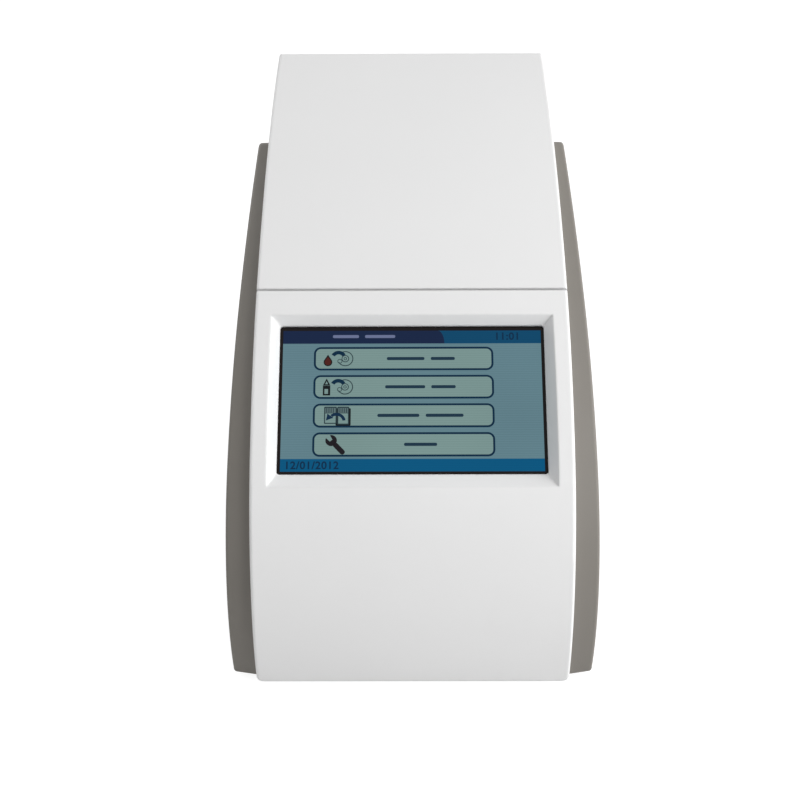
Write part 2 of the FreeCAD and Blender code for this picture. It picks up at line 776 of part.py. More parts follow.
def lid_shell():
    """White lid moulding with its rear knuckles."""
    outer = rounded_block(half_band).common(space(z_low=rim_z))
    outer = outer.common(joint_space(seam_gap / 2, False))
    hollow = body_block(wall, half_band - wall).common(space(z_low=rim_z - 1))
    shell = outer.cut(hollow.common(joint_space(seam_gap / 2 + wall, False)))
    knuckles = []
    for side in (-1, 1):
        start = side * knuckle_x - knuckle_width / 2
        barrel = rod(knuckle_radius, Vector(start, hinge_y, hinge_z), X_AXIS, knuckle_width)
        outer_y = rear_y_at(rim_z)
        arm = box((start, start + knuckle_width), (outer_y - wall, outer_y - 0.1), (hinge_z, rim_z + 0.5))
        knuckles.append(barrel.fuse(arm))
    shell = fuse_all(shell, knuckles)
    bore = rod(hinge_pin_radius + running_gap, Vector(-half_band, hinge_y, hinge_z), X_AXIS,
               2 * half_band)
    return shell.cut(bore)


def lid_liner():
    """Grey inner skin of the lid with the locking tab at its front."""
    inset = wall + seat_gap
    front_offset = seam_gap / 2 + inset
    bottom = deck_top + seal_height + panel_gap
    half = half_band - inset
    outer = body_block(inset, half).common(space(z_low=bottom)).common(joint_space(front_offset, False))
    hollow = body_block(inset + liner_thickness, half - liner_thickness).common(space(z_low=bottom - 1))
    skin = outer.cut(hollow.common(joint_space(front_offset + liner_thickness, False)))
    tab = box((lock_x - tab_width / 2, lock_x + tab_width / 2), (tab_y, tab_y + tab_thickness),
              (lock_height - tab_reach, seam_height + 4))
    tab_edges = [e for e in tab.Edges if e.BoundBox.YLength > 1 and e.CenterOfMass.z < lock_height]
    tab = tab.makeFillet(2.5, tab_edges).common(body_block(inset, half))
    web = box((lock_x - tab_width / 2, lock_x + tab_width / 2),
              (seam_y + front_offset, tab_y + tab_thickness), (bottom + 2, bottom + 5))
    skin = fuse_all(skin, [tab, web])
    return skin.cut(rod(plunger_radius + 0.5, Vector(lock_x, tab_y - 1, lock_height), Y_AXIS, 6))


def seal_frame():
    """Soft seal on the deck under the lid liner."""
    half = half_band - wall - seat_gap
    front = seam_y + seam_gap / 2 + wall
    outer = box((-half, half), (front, deck_rear - 2), (deck_top, deck_top + seal_height))
    inner = box((-half + seal_width, half - seal_width), (front + seal_width, deck_rear - 2 - seal_width),
                (0, REACH))
    corners = [e for e in outer.Edges if e.BoundBox.ZLength > 0.9]
    inner_corners = [e for e in inner.Edges if e.BoundBox.ZLength > REACH / 2]
    return outer.makeFillet(4.0, corners).cut(inner.makeFillet(2.0, inner_corners))


def disc_cover():
    """Round flap over the well, with its knuckle and the holder for the clamp."""
    low = deck_top + disc_cover_lift
    high = low + disc_cover_thickness
    radius = well_radius + disc_cover_margin
    plate = disc(radius, 0, well_y, low, high)
    tongue = box((-cover_knuckle_width / 2, cover_knuckle_width / 2),
                 (well_y + turntable_radius, cover_axis_y), (low, high))
    barrel = rod(cover_knuckle_radius, Vector(-cover_knuckle_width / 2, cover_axis_y, cover_axis_z),
                 X_AXIS, cover_knuckle_width)
    holder = ring(puck_flange_radius + 3, puck_flange_radius + 1, 0, well_y, high - 0.5,
                  high + puck_flange_height + 2)
    rim = ring(radius, radius - cover_rim_width, 0, well_y, high - 0.5, high + cover_rim_height)
    ribs = []
    for i in range(6):
        rib = box((puck_flange_radius + 2, radius - 1), (-0.8, 0.8), (high - 0.5, high + cover_rim_height))
        rib.rotate(Vector(0, 0, 0), Z_AXIS, 60 * i + 30)
        rib.translate(Y_AXIS * well_y)
        ribs.append(rib)
    cover = fuse_all(plate, [tongue, barrel, holder, rim] + ribs)
    holes = [disc(puck_radius + 0.6, 0, well_y, 0, REACH),
             rod(cover_pin_radius + running_gap, Vector(-30, cover_axis_y, cover_axis_z), X_AXIS, 60)]
    return cover.cut(holes)


def clamp_puck():
    """Clamp that presses the disc on the hub and turns with it."""
    plate_top = deck_top + disc_cover_lift + disc_cover_thickness
    hub_top = well_floor + turntable_lift + hub_height
    points = [Vector(0, 0, hub_top + seat_gap), Vector(puck_radius - 1.5, 0, hub_top + seat_gap),
              Vector(puck_radius, 0, hub_top + seat_gap + 2), Vector(puck_radius, 0, plate_top + seat_gap),
              Vector(puck_flange_radius, 0, plate_top + seat_gap),
              Vector(puck_flange_radius, 0, plate_top + seat_gap + puck_flange_height),
              Vector(0, 0, plate_top + seat_gap + puck_flange_height)]
    face = Part.Face(Part.makePolygon(points + points[:1]))
    puck = face.revolve(Vector(0, 0, 0), Z_AXIS, 360)
    puck.translate(Y_AXIS * well_y)
    recess = ring(puck_radius, 3, 0, well_y, plate_top + 1.2, plate_top + 5)
    return puck.cut(recess)


def puck_retainer():
    """Snap ring that keeps the clamp in its holder."""
    plate_top = deck_top + disc_cover_lift + disc_cover_thickness
    low = plate_top + puck_flange_height + 2 * seat_gap + 0.4
    return ring(puck_flange_radius + 1, puck_flange_radius - 3, 0, well_y, low, low + 1.0)


def turntable():
    """Disc platter: a thin plate with a rim, ribs below and a centring hub."""
    low = well_floor + turntable_lift
    hub_top = low + hub_height
    plate = disc(turntable_radius, 0, well_y, low, low + turntable_thickness)
    rim = ring(turntable_radius, turntable_radius - 2, 0, well_y, low, low + turntable_thickness + 1)
    hub = disc(hub_radius, 0, well_y, low, hub_top - 2)
    nose = Part.makeCone(hub_radius, hub_radius - 2, 2, Vector(0, well_y, hub_top - 2), Z_AXIS)
    pegs = []
    for i in range(3):
        angle = math.radians(120 * i + 90)
        pegs.append(disc(1.5, 15 * math.cos(angle), well_y + 15 * math.sin(angle), low, hub_top - 3))
    table = fuse_all(plate, [rim, hub, nose] + pegs)
    window_circle = lens_x - lens_radius / 2
    windows = []
    for i in range(6):
        angle = math.radians(60 * i)
        windows.append(disc(3.0, window_circle * math.cos(angle), well_y + window_circle * math.sin(angle),
                            low - 1, REACH))
    return table.cut(windows).cut(disc(shaft_radius + press_gap, 0, well_y, 0, hub_top - 2.5))


def lug_screw(head_centre, axis, length):
    """A screw with a domed head: the axis points from the head into the work."""
    head = rod(screw_head_radius, head_centre, axis, screw_head_height)
    edge = [e for e in head.Edges if e.Closed and (e.CenterOfMass - head_centre).Length < 0.01]
    head = head.makeFillet(0.8, edge)
    shank = rod(screw_radius, head_centre + axis * screw_head_height, axis, length)
    cross = rod(1.1, head_centre, axis, 1.0)
    return head.fuse(shank).removeSplitter().cut(cross)


def on_display(shape):
    """Place a shape drawn flat into the display's own frame."""
    shape.Placement = screen_placement
    return shape


def display_bracket():
    """Pressed steel bracket behind the display with turned-in edges and windows."""
    half_w = half_band - wall - 0.6
    half_h = bracket_height / 2
    plate = box((-half_w, half_w), (-half_h, half_h), (bracket_back, bracket_back + bracket_thickness))
    for x in (-bracket_hole_x, bracket_hole_x):
        hole = box((x - bracket_hole_width / 2, x + bracket_hole_width / 2),
                   (bracket_hole_low, bracket_hole_high), (bracket_back - 1, bracket_back + 3))
        corners = [e for e in hole.Edges if e.BoundBox.ZLength > 3.9]
        plate = plate.cut(hole.makeFillet(3.0, corners))
    studs = [disc(bracket_stud_radius, sx * bracket_stud_x, sy * bracket_stud_u, board_front,
                  bracket_back + 0.2)
             for sx in (-1, 1) for sy in (-1, 1)]
    return on_display(fuse_all(plate, studs))


def chip(x, y, width, length, z_range):
    """A block on a board, around its place."""
    return box((x - width / 2, x + width / 2), (y - length / 2, y + length / 2), z_range)


def circuit_board(x_range, y_range, z_low, chips):
    """A populated board: the laminate with its larger chips soldered on."""
    board = box(x_range, y_range, (z_low, z_low + board_thickness))
    return fuse_all(board, chips)


# Housing
save("front_shell", front_shell())
save("rear_shell", rear_shell())
save("base_tray", base_tray())
right_cover = side_cover()
save("right_side_cover", right_cover)
save("left_side_cover", mirrored(right_cover))
right_fin = fin_liner()
save("right_fin_liner", right_fin)
save("left_fin_liner", mirrored(right_fin))
save("deck_tray", deck_tray())
save("chassis_frame", chassis_frame())

# Lid
save("lid_shell", lid_shell())
save("lid_liner", lid_liner())
save("lid_seal", seal_frame())
pin_length = knuckle_width + 2 * (lug_width + seat_gap)
for name, side in SIDES.items():
    start = Vector(side * knuckle_x - pin_length / 2, hinge_y, hinge_z)
    save("hinge_pin_" + name, rod(hinge_pin_radius, start, X_AXIS, pin_length))

# Disc cover, clamp and drive
save("disc_cover", disc_cover())
cover_pin_length = cover_knuckle_width + 2 * (seat_gap + cover_lug_width)
save("cover_pin", rod(cover_pin_radius, Vector(-cover_pin_length / 2, cover_axis_y, cover_axis_z),
                      X_AXIS, cover_pin_length))
save("clamp_puck", clamp_puck())
save("puck_retainer", puck_retainer())
save("turntable", turntable())
motor_top = motor_plate_top - motor_plate_thickness
motor_bottom = motor_top - motor_height
hub_top = well_floor + turntable_lift + hub_height
shaft = disc(shaft_radius, 0, well_y, motor_bottom + 3, hub_top - 2.5)
save("spindle_shaft", shaft)
motor = fuse_all(disc(motor_radius, 0, well_y, motor_bottom, motor_top),
                 [disc(motor_boss_radius, 0, well_y, motor_top - 0.5, motor_plate_top + 1)])
motor = motor.cut(disc(shaft_radius + running_gap, 0, well_y, motor_bottom + 3, REACH))
motor_pilots = [disc(screw_radius + press_gap, x, y, motor_top - 5, motor_top + 1)
                for x, y in motor_screw_places()]
save("spindle_motor", motor.cut(motor_pilots))
motor_screws = [lug_screw(Vector(x, y, motor_plate_top + screw_head_height), Z_AXIS * -1,
                          motor_screw_length)
                for x, y in motor_screw_places()]
save("motor_screws", Part.makeCompound(motor_screws))
heater = ring(well_radius - 5, 12, 0, well_y, well_floor - deck_thickness - heater_thickness - 0.1,
              well_floor - deck_thickness - 0.1)
for side in (-1, 1):
    heater = heater.cut(disc(lens_radius + 0.6, side * lens_x, well_y, 0, REACH))
save("heater_plate", heater)

# Optics under the well
optics_top = well_floor - deck_thickness - heater_thickness - 0.4


def optics_housing(side, depth):
    """A moulded optics body that hangs in the motor plate by its flange."""
    x = side * lens_x
    body = box((x - optics_half_width, x + optics_half_width),
               (well_y - optics_half_length, well_y + optics_half_length), (optics_top - depth, optics_top))
    uprights = [e for e in body.Edges if e.BoundBox.ZLength > depth * 0.9]
    body = body.makeFillet(2.0, uprights)
    flange_x = optics_half_width + optics_flange
    flange_y = optics_half_length + optics_flange
    flange = box((x - flange_x, x + flange_x), (well_y - flange_y, well_y + flange_y),
                 (motor_plate_top, motor_plate_top + optics_flange))
    housing = fuse_all(body, [flange])
    return housing.cut(disc(lens_radius + seat_gap, x, well_y, optics_top - 4, REACH))


save("optics_block", optics_housing(1, optics_depth))
save("code_reader", optics_housing(-1, reader_depth))
for name, side in SIDES.items():
    lens = disc(lens_radius, side * lens_x, well_y, optics_top - 4, well_floor - 0.6)
    rim = [e for e in lens.Edges if e.Closed and e.CenterOfMass.z > well_floor - 1]
    save("lens_" + name, lens.makeFillet(0.6, rim))

# Display
glass_half_width = window_width / 2 + glass_margin
glass_half_height = window_height / 2 + glass_margin
save("display_window", screen_box(glass_half_width, glass_half_height, glass_back, glass_front,
                                  glass_corner_radius))
save("lcd_module", screen_box(glass_half_width, glass_half_height, module_back, glass_back - layer_gap,
                              glass_corner_radius))
save("display_bracket", display_bracket())
board_back = board_front - board_thickness
display_chips = [chip(-8, -1, 24, 22, (board_back - 1.2, board_back + 0.1)),
                 chip(22, -2, processor_size, processor_size, (board_back - 1.5, board_back + 0.1))]
display_board_x = window_width / 2 - display_board_margin
display_board_y = window_height / 2 - display_board_margin
save("display_board", on_display(circuit_board((-display_board_x, display_board_x),
                                               (-display_board_y, display_board_y),
                                               board_back, display_chips)))

# Boards and sockets
board_top = main_board_height + board_thickness
main_chips = [chip(processor_x, well_y + processor_offset, processor_size, processor_size,
                   (board_top - 0.1, board_top + 1.6)),
              chip(driver_x, well_y + driver_offset, driver_size, driver_size,
                   (board_top - 0.1, board_top + 1.4)),
              chip(header_x, board_rear - header_setback, header_width, header_length,
                   (board_top - 0.1, board_top + header_height))]
save("main_board", circuit_board((-main_board_half_width, main_board_half_width),
                                 (main_board_front, board_rear), main_board_height, main_chips))


def socket_block(x, width, height):
    """Body of a rear socket, standing on the main board."""
    low = port_height - height / 2
    body = box((x - width / 2, x + width / 2), (port_face - port_depth, port_face), (low, low + height))
    stand = box((x - width / 2 + 1, x + width / 2 - 1), (port_face - port_depth, port_face - 5),
                (board_top, low + 0.1))
    return fuse_all(body, [stand])


for name, (x, width, height) in port_sizes.items():
    low = port_height - height / 2 + port_wall
    mouth = box((x - width / 2 + port_wall, x + width / 2 - port_wall), (port_face - 9, REACH),
                (low, low + height - 2 * port_wall))
    tongue = box((x - width / 2 + 2, x + width / 2 - 2), (port_face - 9.5, port_face - 1.5),
                 (port_height - 0.2, port_height + 1.6))
    save(name, fuse_all(socket_block(x, width, height).cut(mouth), [tongue]))
inlet = socket_block(inlet_x, inlet_width, inlet_height)
inlet = inlet.cut(rod(inlet_bore_radius, Vector(inlet_x, port_face - 10, port_height), Y_AXIS, 20))
inlet_pin = rod(1.0, Vector(inlet_x, port_face - 10.5, port_height), Y_AXIS, 9.0)
save("dc_inlet", fuse_all(inlet, [inlet_pin]))
save("coin_cell", disc(coin_cell_radius, coin_cell_x, main_board_front + coin_cell_setback,
                       board_top, board_top + coin_cell_thickness))
basket = Part.makeCone(speaker_radius, speaker_radius - 4, speaker_depth,
                       Vector(speaker_x, speaker_y, tray_floor_top))
magnet_top = tray_floor_top + speaker_depth + magnet_depth
magnet = disc(magnet_radius, speaker_x, speaker_y, tray_floor_top + speaker_depth - 0.5, magnet_top)
save("speaker", fuse_all(basket, [magnet]))

# Power button with its return spring and switch
button_face = rear_y_at(port_height) + 0.3
button_back = rear_y_at(port_height) - wall - button_flange - 2 * seat_gap
button = rod(button_radius, Vector(button_x, button_back, port_height), Y_AXIS, button_face - button_back)
front_rim = [e for e in button.Edges if e.Closed and e.CenterOfMass.y > button_face - 0.1]
button = button.makeFillet(0.8, front_rim)
flange = rod(button_radius + 1.2, Vector(button_x, button_back, port_height), Y_AXIS, button_flange)
save("power_button", fuse_all(button, [flange]))
switch_front = button_back - spring_length - panel_gap
switch = box((button_x - 6, button_x + 6), (switch_front - 7, switch_front), (board_top, port_height + 6))
save("power_switch", switch)


def coil_spring(radius, wire, pitch, length, start, axis):
    """A compression spring along an axis."""
    helix = Part.makeHelix(pitch, length - 2 * wire, radius)
    profile = Part.Wire(Part.makeCircle(wire, Vector(radius, 0, 0), Y_AXIS))
    coil = Part.Wire(helix.Edges).makePipeShell([profile], True, True)
    coil.translate(Z_AXIS * wire)
    coil.Placement = FreeCAD.Placement(start, FreeCAD.Rotation(Z_AXIS, axis)).multiply(coil.Placement)
    return coil


save("power_spring", coil_spring(2.6, 0.3, 1.3, spring_length,
                                 Vector(button_x, switch_front + panel_gap / 2, port_height), Y_AXIS))

# Lid lock: a two-way solenoid under the deck and its plunger behind the lid tab
tab_back = tab_y + tab_thickness
solenoid_front = tab_back + plunger_retreat + lock_travel
solenoid = box((lock_x - lock_body_half, lock_x + lock_body_half),
               (solenoid_front, solenoid_front + lock_body_length),
               (lock_height - lock_body_half, lock_height + lock_body_half))
solenoid = solenoid.cut(rod(plunger_radius + running_gap, Vector(lock_x, solenoid_front - 1, lock_height),
                            Y_AXIS, lock_body_length))
save("lock_solenoid", solenoid)
plunger = rod(plunger_radius, Vector(lock_x, tab_back + plunger_retreat, lock_height), Y_AXIS,
              solenoid_front + plunger_depth - tab_back - plunger_retreat)
tip = [e for e in plunger.Edges if e.Closed and e.CenterOfMass.y < tab_back + plunger_retreat + 0.1]
save("lock_plunger", plunger.makeFillet(0.6, tip))

# Fasteners and feet
base_screws = [lug_screw(Vector(sx * post_x, sy * post_y, screw_seat - screw_head_height), Z_AXIS,
                         base_screw_length)
               for sx in (-1, 1) for sy in (-1, 1)]
save("base_screws", Part.makeCompound(base_screws))
deck_screws = [lug_screw(Vector(x, y, deck_top + screw_head_height), Z_AXIS * -1, deck_screw_length)
               for x, y in deck_screw_places]
save("deck_screws", Part.makeCompound(deck_screws))
cover_screws = [lug_screw(Vector(side * (frame_half_width - frame_thickness - screw_head_height), y, z),
                          X_AXIS * side, cover_screw_length)
                for side in (-1, 1) for y, z in cover_boss_places]
save("cover_screws", Part.makeCompound(cover_screws))
for end, sy in (("front", -1), ("rear", 1)):
    for name, sx in SIDES.items():
        foot = disc(foot_radius, sx * foot_x, sy * foot_y, 0, foot_height + foot_recess)
        lower = [e for e in foot.Edges if e.Closed and e.CenterOfMass.z < 0.1]
        save("foot_" + end + "_" + name, foot.makeFillet(0.8, lower))
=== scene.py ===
import json
import math
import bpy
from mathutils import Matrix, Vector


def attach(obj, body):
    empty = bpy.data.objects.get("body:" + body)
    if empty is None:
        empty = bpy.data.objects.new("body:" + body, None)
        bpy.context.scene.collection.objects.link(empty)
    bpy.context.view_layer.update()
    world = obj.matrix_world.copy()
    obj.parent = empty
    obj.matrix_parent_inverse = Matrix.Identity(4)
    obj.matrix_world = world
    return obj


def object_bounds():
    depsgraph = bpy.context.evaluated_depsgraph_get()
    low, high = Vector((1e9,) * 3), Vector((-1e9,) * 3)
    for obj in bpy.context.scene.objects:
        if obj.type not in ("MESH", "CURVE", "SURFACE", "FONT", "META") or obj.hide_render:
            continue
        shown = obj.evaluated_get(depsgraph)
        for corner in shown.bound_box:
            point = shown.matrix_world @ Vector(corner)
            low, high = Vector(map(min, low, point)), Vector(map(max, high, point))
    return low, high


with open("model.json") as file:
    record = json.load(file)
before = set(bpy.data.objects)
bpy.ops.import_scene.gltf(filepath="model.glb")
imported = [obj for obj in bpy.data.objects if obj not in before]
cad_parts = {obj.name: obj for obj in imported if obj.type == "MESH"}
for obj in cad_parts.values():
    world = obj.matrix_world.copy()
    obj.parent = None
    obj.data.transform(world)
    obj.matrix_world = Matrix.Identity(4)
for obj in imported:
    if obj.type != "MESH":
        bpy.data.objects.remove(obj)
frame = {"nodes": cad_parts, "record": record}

from types import SimpleNamespace

import bmesh
import bpy
from mathutils import Matrix, Vector

bl_info = {
    "name": "Point-of-care analyzer dressing",
    "version": (1, 0, 0),
    "blender": (4, 5, 0),
    "location": "3D View > Sidebar > Analyzer",
    "description": "Finishes, display picture and studio for a compact desktop analyzer",
    "category": "Object",
}

MM = 0.001
CAD_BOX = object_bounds()
NODES = frame["nodes"]


# Colour and node helpers

def linear(hex_colour):
    """An sRGB hex colour as the linear RGBA that shaders take."""
    channels = [int(hex_colour[i:i + 2], 16) / 255 for i in (1, 3, 5)]
    return tuple(c / 12.92 if c <= 0.04045 else ((c + 0.055) / 1.055) ** 2.4 for c in channels) + (1.0,)


def add_node(tree, kind, links=(), inputs=(), **settings):
    """Add one node with its settings, its input values and its incoming (socket, source) links."""
    node = tree.nodes.new(kind)
    for name, value in settings.items():
        setattr(node, name, value)
    for name, value in dict(inputs).items():
        node.inputs[name].default_value = value
    for name, source in dict(links).items():
        tree.links.new(source, node.inputs[name])
    return node


def new_material(name):
    """An empty node material and its output node."""
    material = bpy.data.materials.new(name)
    material.use_nodes = True
    material.node_tree.nodes.clear()
    return material, add_node(material.node_tree, "ShaderNodeOutputMaterial")


def object_place(tree):
    """Coordinates in metres that stay with the piece."""
    return add_node(tree, "ShaderNodeTexCoord").outputs["Object"]


def noise_at(tree, size_mm, detail=2.0, place=None):
    """Noise whose grains are about size_mm across."""
    return add_node(tree, "ShaderNodeTexNoise", {"Vector": place or object_place(tree)},
                    {"Scale": 1 / (size_mm * MM), "Detail": detail})


def spread(tree, source, low, high):
    """A value that swings between low and high with a noise."""
    return add_node(tree, "ShaderNodeMapRange", {"Value": source},
                    {"From Min": 0.3, "From Max": 0.7, "To Min": low, "To Max": high}).outputs["Result"]


def two_tone(tree, source, low, high):
    """A colour that drifts between two hex colours with a noise."""
    mix = add_node(tree, "ShaderNodeMix", data_type="RGBA")
    tree.links.new(source, mix.inputs["Factor"])
    mix.inputs[6].default_value = linear(low)
    mix.inputs[7].default_value = linear(high)
    return mix.outputs[2]


def grain_bump(tree, size_mm, depth_mm, place=None, edge_mm=0.0):
    """Fine relief of a moulded or blasted surface, whose edges look broken by edge_mm where it is given."""
    links = {"Height": noise_at(tree, size_mm, 3.0, place).outputs["Fac"]}
    if edge_mm:
        links["Normal"] = add_node(tree, "ShaderNodeBevel", inputs={"Radius": edge_mm * MM},
                                   samples=6).outputs["Normal"]
    bump = add_node(tree, "ShaderNodeBump", links, {"Strength": 1.0, "Distance": depth_mm * MM})
    return bump.outputs["Normal"]


# Materials, each named for what the real surface is made of and how it was made. The grain of a tool
# surface is finer than a tenth of a millimetre, so it is drawn a few times coarser, or it wouldn't show.
CLOUD_MM = 60.0         # slow drift of colour over a moulding
WEAR_MM = 9.0           # patches of gloss from handling
SOFT_EDGE_MM = 1.2      # edges of the white mouldings are broken by about this much

def moulded_plastic(name, light, dark, roughness, ior, grain_mm, depth_mm, sheen=0.5, edge_mm=0.0):
    """Injection moulded plastic with a textured surface: the rougher the grain, the weaker its sheen."""
    material, output = new_material(name)
    tree = material.node_tree
    cloud = noise_at(tree, CLOUD_MM).outputs["Fac"]
    wear = noise_at(tree, WEAR_MM, 4.0).outputs["Fac"]
    shader = add_node(tree, "ShaderNodeBsdfPrincipled", {
        "Base Color": two_tone(tree, cloud, dark, light),
        "Roughness": spread(tree, wear, roughness - 0.03, roughness + 0.03),
        "Normal": grain_bump(tree, grain_mm, depth_mm, edge_mm=edge_mm),
    }, {"IOR": ior, "Specular IOR Level": sheen})
    tree.links.new(shader.outputs["BSDF"], output.inputs["Surface"])
    return material


def satin_white_abs(colours):
    """White ABS, moulded in a finely blasted tool: an even, milky satin with soft highlights and edges."""
    return moulded_plastic("satin_white_abs", colours.white_light, colours.white_dark, 0.42, 1.54, 0.5,
                           0.004, edge_mm=SOFT_EDGE_MM)


def textured_grey_abs(colours):
    """Warm grey ABS with a spark eroded texture: matt, with a fine sparkle of grain."""
    return moulded_plastic("textured_grey_abs", colours.grey_light, colours.grey_dark, 0.56, 1.54, 0.45,
                           0.012, sheen=0.3)


def satin_pale_grey_abs(colours):
    """Pale cool grey ABS of the disc compartment: smoother than the housing, wiped clean often."""
    return moulded_plastic("satin_pale_grey_abs", colours.deck_light, colours.deck_dark, 0.38, 1.54, 0.6,
                           0.004)


def matt_black_abs(colours):
    """Black moulded ABS: deep and matt, greyed a little by its grain."""
    return moulded_plastic("matt_black_abs", "#1c1c1e", "#161618", 0.55, 1.54, 0.5, 0.008)


def turned_acetal(colours):
    """Dark acetal: a waxy, slightly glossy plastic used where parts slide and turn."""
    return moulded_plastic("turned_acetal", "#26262a", "#1e1e22", 0.33, 1.48, 0.8, 0.003)


def foot_rubber(colours):
    """Moulded nitrile rubber: dull black with a dusty bloom."""
    return moulded_plastic("foot_rubber", "#232323", "#191919", 0.82, 1.52, 0.7, 0.02)


def foam_seal_rubber(colours):
    """Closed-cell foam rubber: matt, with pores that show as tiny pits."""
    return moulded_plastic("foam_seal_rubber", "#2b2b2d", "#1f1f21", 0.9, 1.5, 0.6, 0.06)


def polished_smoke_polycarbonate(colours):
    """Clear polycarbonate with a smoke tint: glossy, see-through, darker where it is thick."""
    material, output = new_material("polished_smoke_polycarbonate")
    tree = material.node_tree
    haze = noise_at(tree, 14.0, 3.0).outputs["Fac"]
    shader = add_node(tree, "ShaderNodeBsdfPrincipled", {
        "Roughness": spread(tree, haze, 0.05, 0.09),
    }, {"Base Color": linear("#8f979c"), "IOR": 1.585, "Transmission Weight": 0.85})
    tree.links.new(shader.outputs["BSDF"], output.inputs["Surface"])
    return material


def polished_lens_glass(colours):
    """Coated optical glass: clear, with a faint blue-violet reflection."""
    material, output = new_material("polished_lens_glass")
    tree = material.node_tree
    dust = noise_at(tree, 2.0, 3.0).outputs["Fac"]
    shader = add_node(tree, "ShaderNodeBsdfPrincipled", {
        "Roughness": spread(tree, dust, 0.01, 0.04),
    }, {"Base Color": linear("#2a3340"), "IOR": 1.52, "Coat Weight": 0.6, "Coat Roughness": 0.02,
        "Coat Tint": linear("#b9b4ff")})
    tree.links.new(shader.outputs["BSDF"], output.inputs["Surface"])
    return material


def metal(name, colour, roughness, grain_mm, stretch, depth_mm):
    """A metal whose tool marks run along one axis: stretch squeezes the pattern across it."""
    material, output = new_material(name)
    tree = material.node_tree
    mapping = add_node(tree, "ShaderNodeMapping", {"Vector": object_place(tree)}, {"Scale": stretch})
    place = mapping.outputs["Vector"]
    streak = noise_at(tree, grain_mm, 4.0, place).outputs["Fac"]
    shader = add_node(tree, "ShaderNodeBsdfPrincipled", {
        "Roughness": spread(tree, streak, roughness - 0.06, roughness + 0.08),
        "Normal": grain_bump(tree, grain_mm, depth_mm, place),
    }, {"Base Color": linear(colour), "Metallic": 1.0})
    tree.links.new(shader.outputs["BSDF"], output.inputs["Surface"])
    return material


def turned_steel(colours):
    """Bright turned steel: fine rings round the bar that stretch each highlight."""
    return metal("turned_steel", "#c6c5c3", 0.28, 0.8, (6.0, 1.0, 1.0), 0.002)


def zinc_plated_steel(colours):
    """Zinc plated pressed sheet: pale blue-grey and slightly cloudy."""
    return metal("zinc_plated_steel", "#b4bac2", 0.38, 3.0, (1.0, 1.0, 1.0), 0.004)


def milled_aluminium(colours):
    """Milled aluminium: light grey with straight cutter marks."""
    return metal("milled_aluminium", "#d6d7d9", 0.32, 1.0, (1.0, 8.0, 1.0), 0.003)


def nickel_plate(colours):
    """Nickel plate on small stampings: warm, bright and smooth."""
    return metal("nickel_plate", "#cfc8bb", 0.2, 1.5, (1.0, 1.0, 1.0), 0.001)


def coated_circuit_board(colours):
    """Glass-epoxy board under green solder resist: copper runs show as paler lines."""
    material, output = new_material("coated_circuit_board")
    tree = material.node_tree
    runs = add_node(tree, "ShaderNodeTexBrick", {"Vector": object_place(tree)},
                    {"Scale": 1 / (18 * MM), "Mortar Size": 0.03, "Color1": linear("#0f4a2b"),
                     "Color2": linear("#124f30"), "Mortar": linear("#3d8a55")})
    shader = add_node(tree, "ShaderNodeBsdfPrincipled", {
        "Base Color": runs.outputs["Color"],
        "Normal": grain_bump(tree, 0.6, 0.003),
    }, {"Roughness": 0.35, "IOR": 1.55})
    tree.links.new(shader.outputs["BSDF"], output.inputs["Surface"])
    return material


def black_printed_glass(colours):
    """Touch panel with a black border printed behind its anti-glare face: deep, brown-black, low gloss."""
    material, output = new_material("black_printed_glass")
    tree = material.node_tree
    etch = noise_at(tree, 0.4, 2.0).outputs["Fac"]
    shader = add_node(tree, "ShaderNodeBsdfPrincipled", {
        "Roughness": spread(tree, etch, 0.16, 0.24),
    }, {"Base Color": linear(colours.glass_border), "IOR": 1.5, "Specular IOR Level": 0.12})
    tree.links.new(shader.outputs["BSDF"], output.inputs["Surface"])
    return material


# The panel's rows are a tenth of a millimetre apart: they are drawn coarser, or they wouldn't show
ROW_PITCH_MM = 0.9
PANEL_CLOUD_MM = 45.0   # cloudiness of the backlight


def pixel_rows(tree, pitch_mm, depth):
    """Brightness that dips by depth between the rows of a panel, which run across the display."""
    place = add_node(tree, "ShaderNodeVectorMath", {0: object_place(tree)}, operation="DOT_PRODUCT")
    place.inputs[1].default_value = PLANE.up * (2 * math.pi / (pitch_mm * MM))
    wave = add_node(tree, "ShaderNodeMath", {0: place.outputs["Value"]}, operation="SINE")
    return add_node(tree, "ShaderNodeMath", {0: wave.outputs[0]}, {1: depth / 2, 2: 1 - depth / 2},
                    operation="MULTIPLY_ADD").outputs[0]


def lit_picture(name, hex_colour, grain=0.0):
    """A colour field of a lit liquid crystal panel, seen through an anti-glare face: it glows by itself,
    so the pixel rows and the panel's cloudiness are drawn in the glow."""
    material, output = new_material(name)
    tree = material.node_tree
    cloud = noise_at(tree, PANEL_CLOUD_MM, 1.0).outputs["Fac"]
    level = add_node(tree, "ShaderNodeMath", {0: pixel_rows(tree, ROW_PITCH_MM, grain),
                                              1: spread(tree, cloud, 1 - grain / 2, 1 + grain / 2)},
                     operation="MULTIPLY")
    glow = add_node(tree, "ShaderNodeVectorMath", {"Scale": level.outputs[0]}, operation="SCALE")
    glow.inputs[0].default_value = linear(hex_colour)[:3]
    shader = add_node(tree, "ShaderNodeBsdfPrincipled", {"Emission Color": glow.outputs[0]},
                      {"Base Color": linear("#050505"), "Roughness": 0.3, "IOR": 1.5,
                       "Specular IOR Level": 0.04, "Emission Strength": 1.0})
    tree.links.new(shader.outputs["BSDF"], output.inputs["Surface"])
    return material


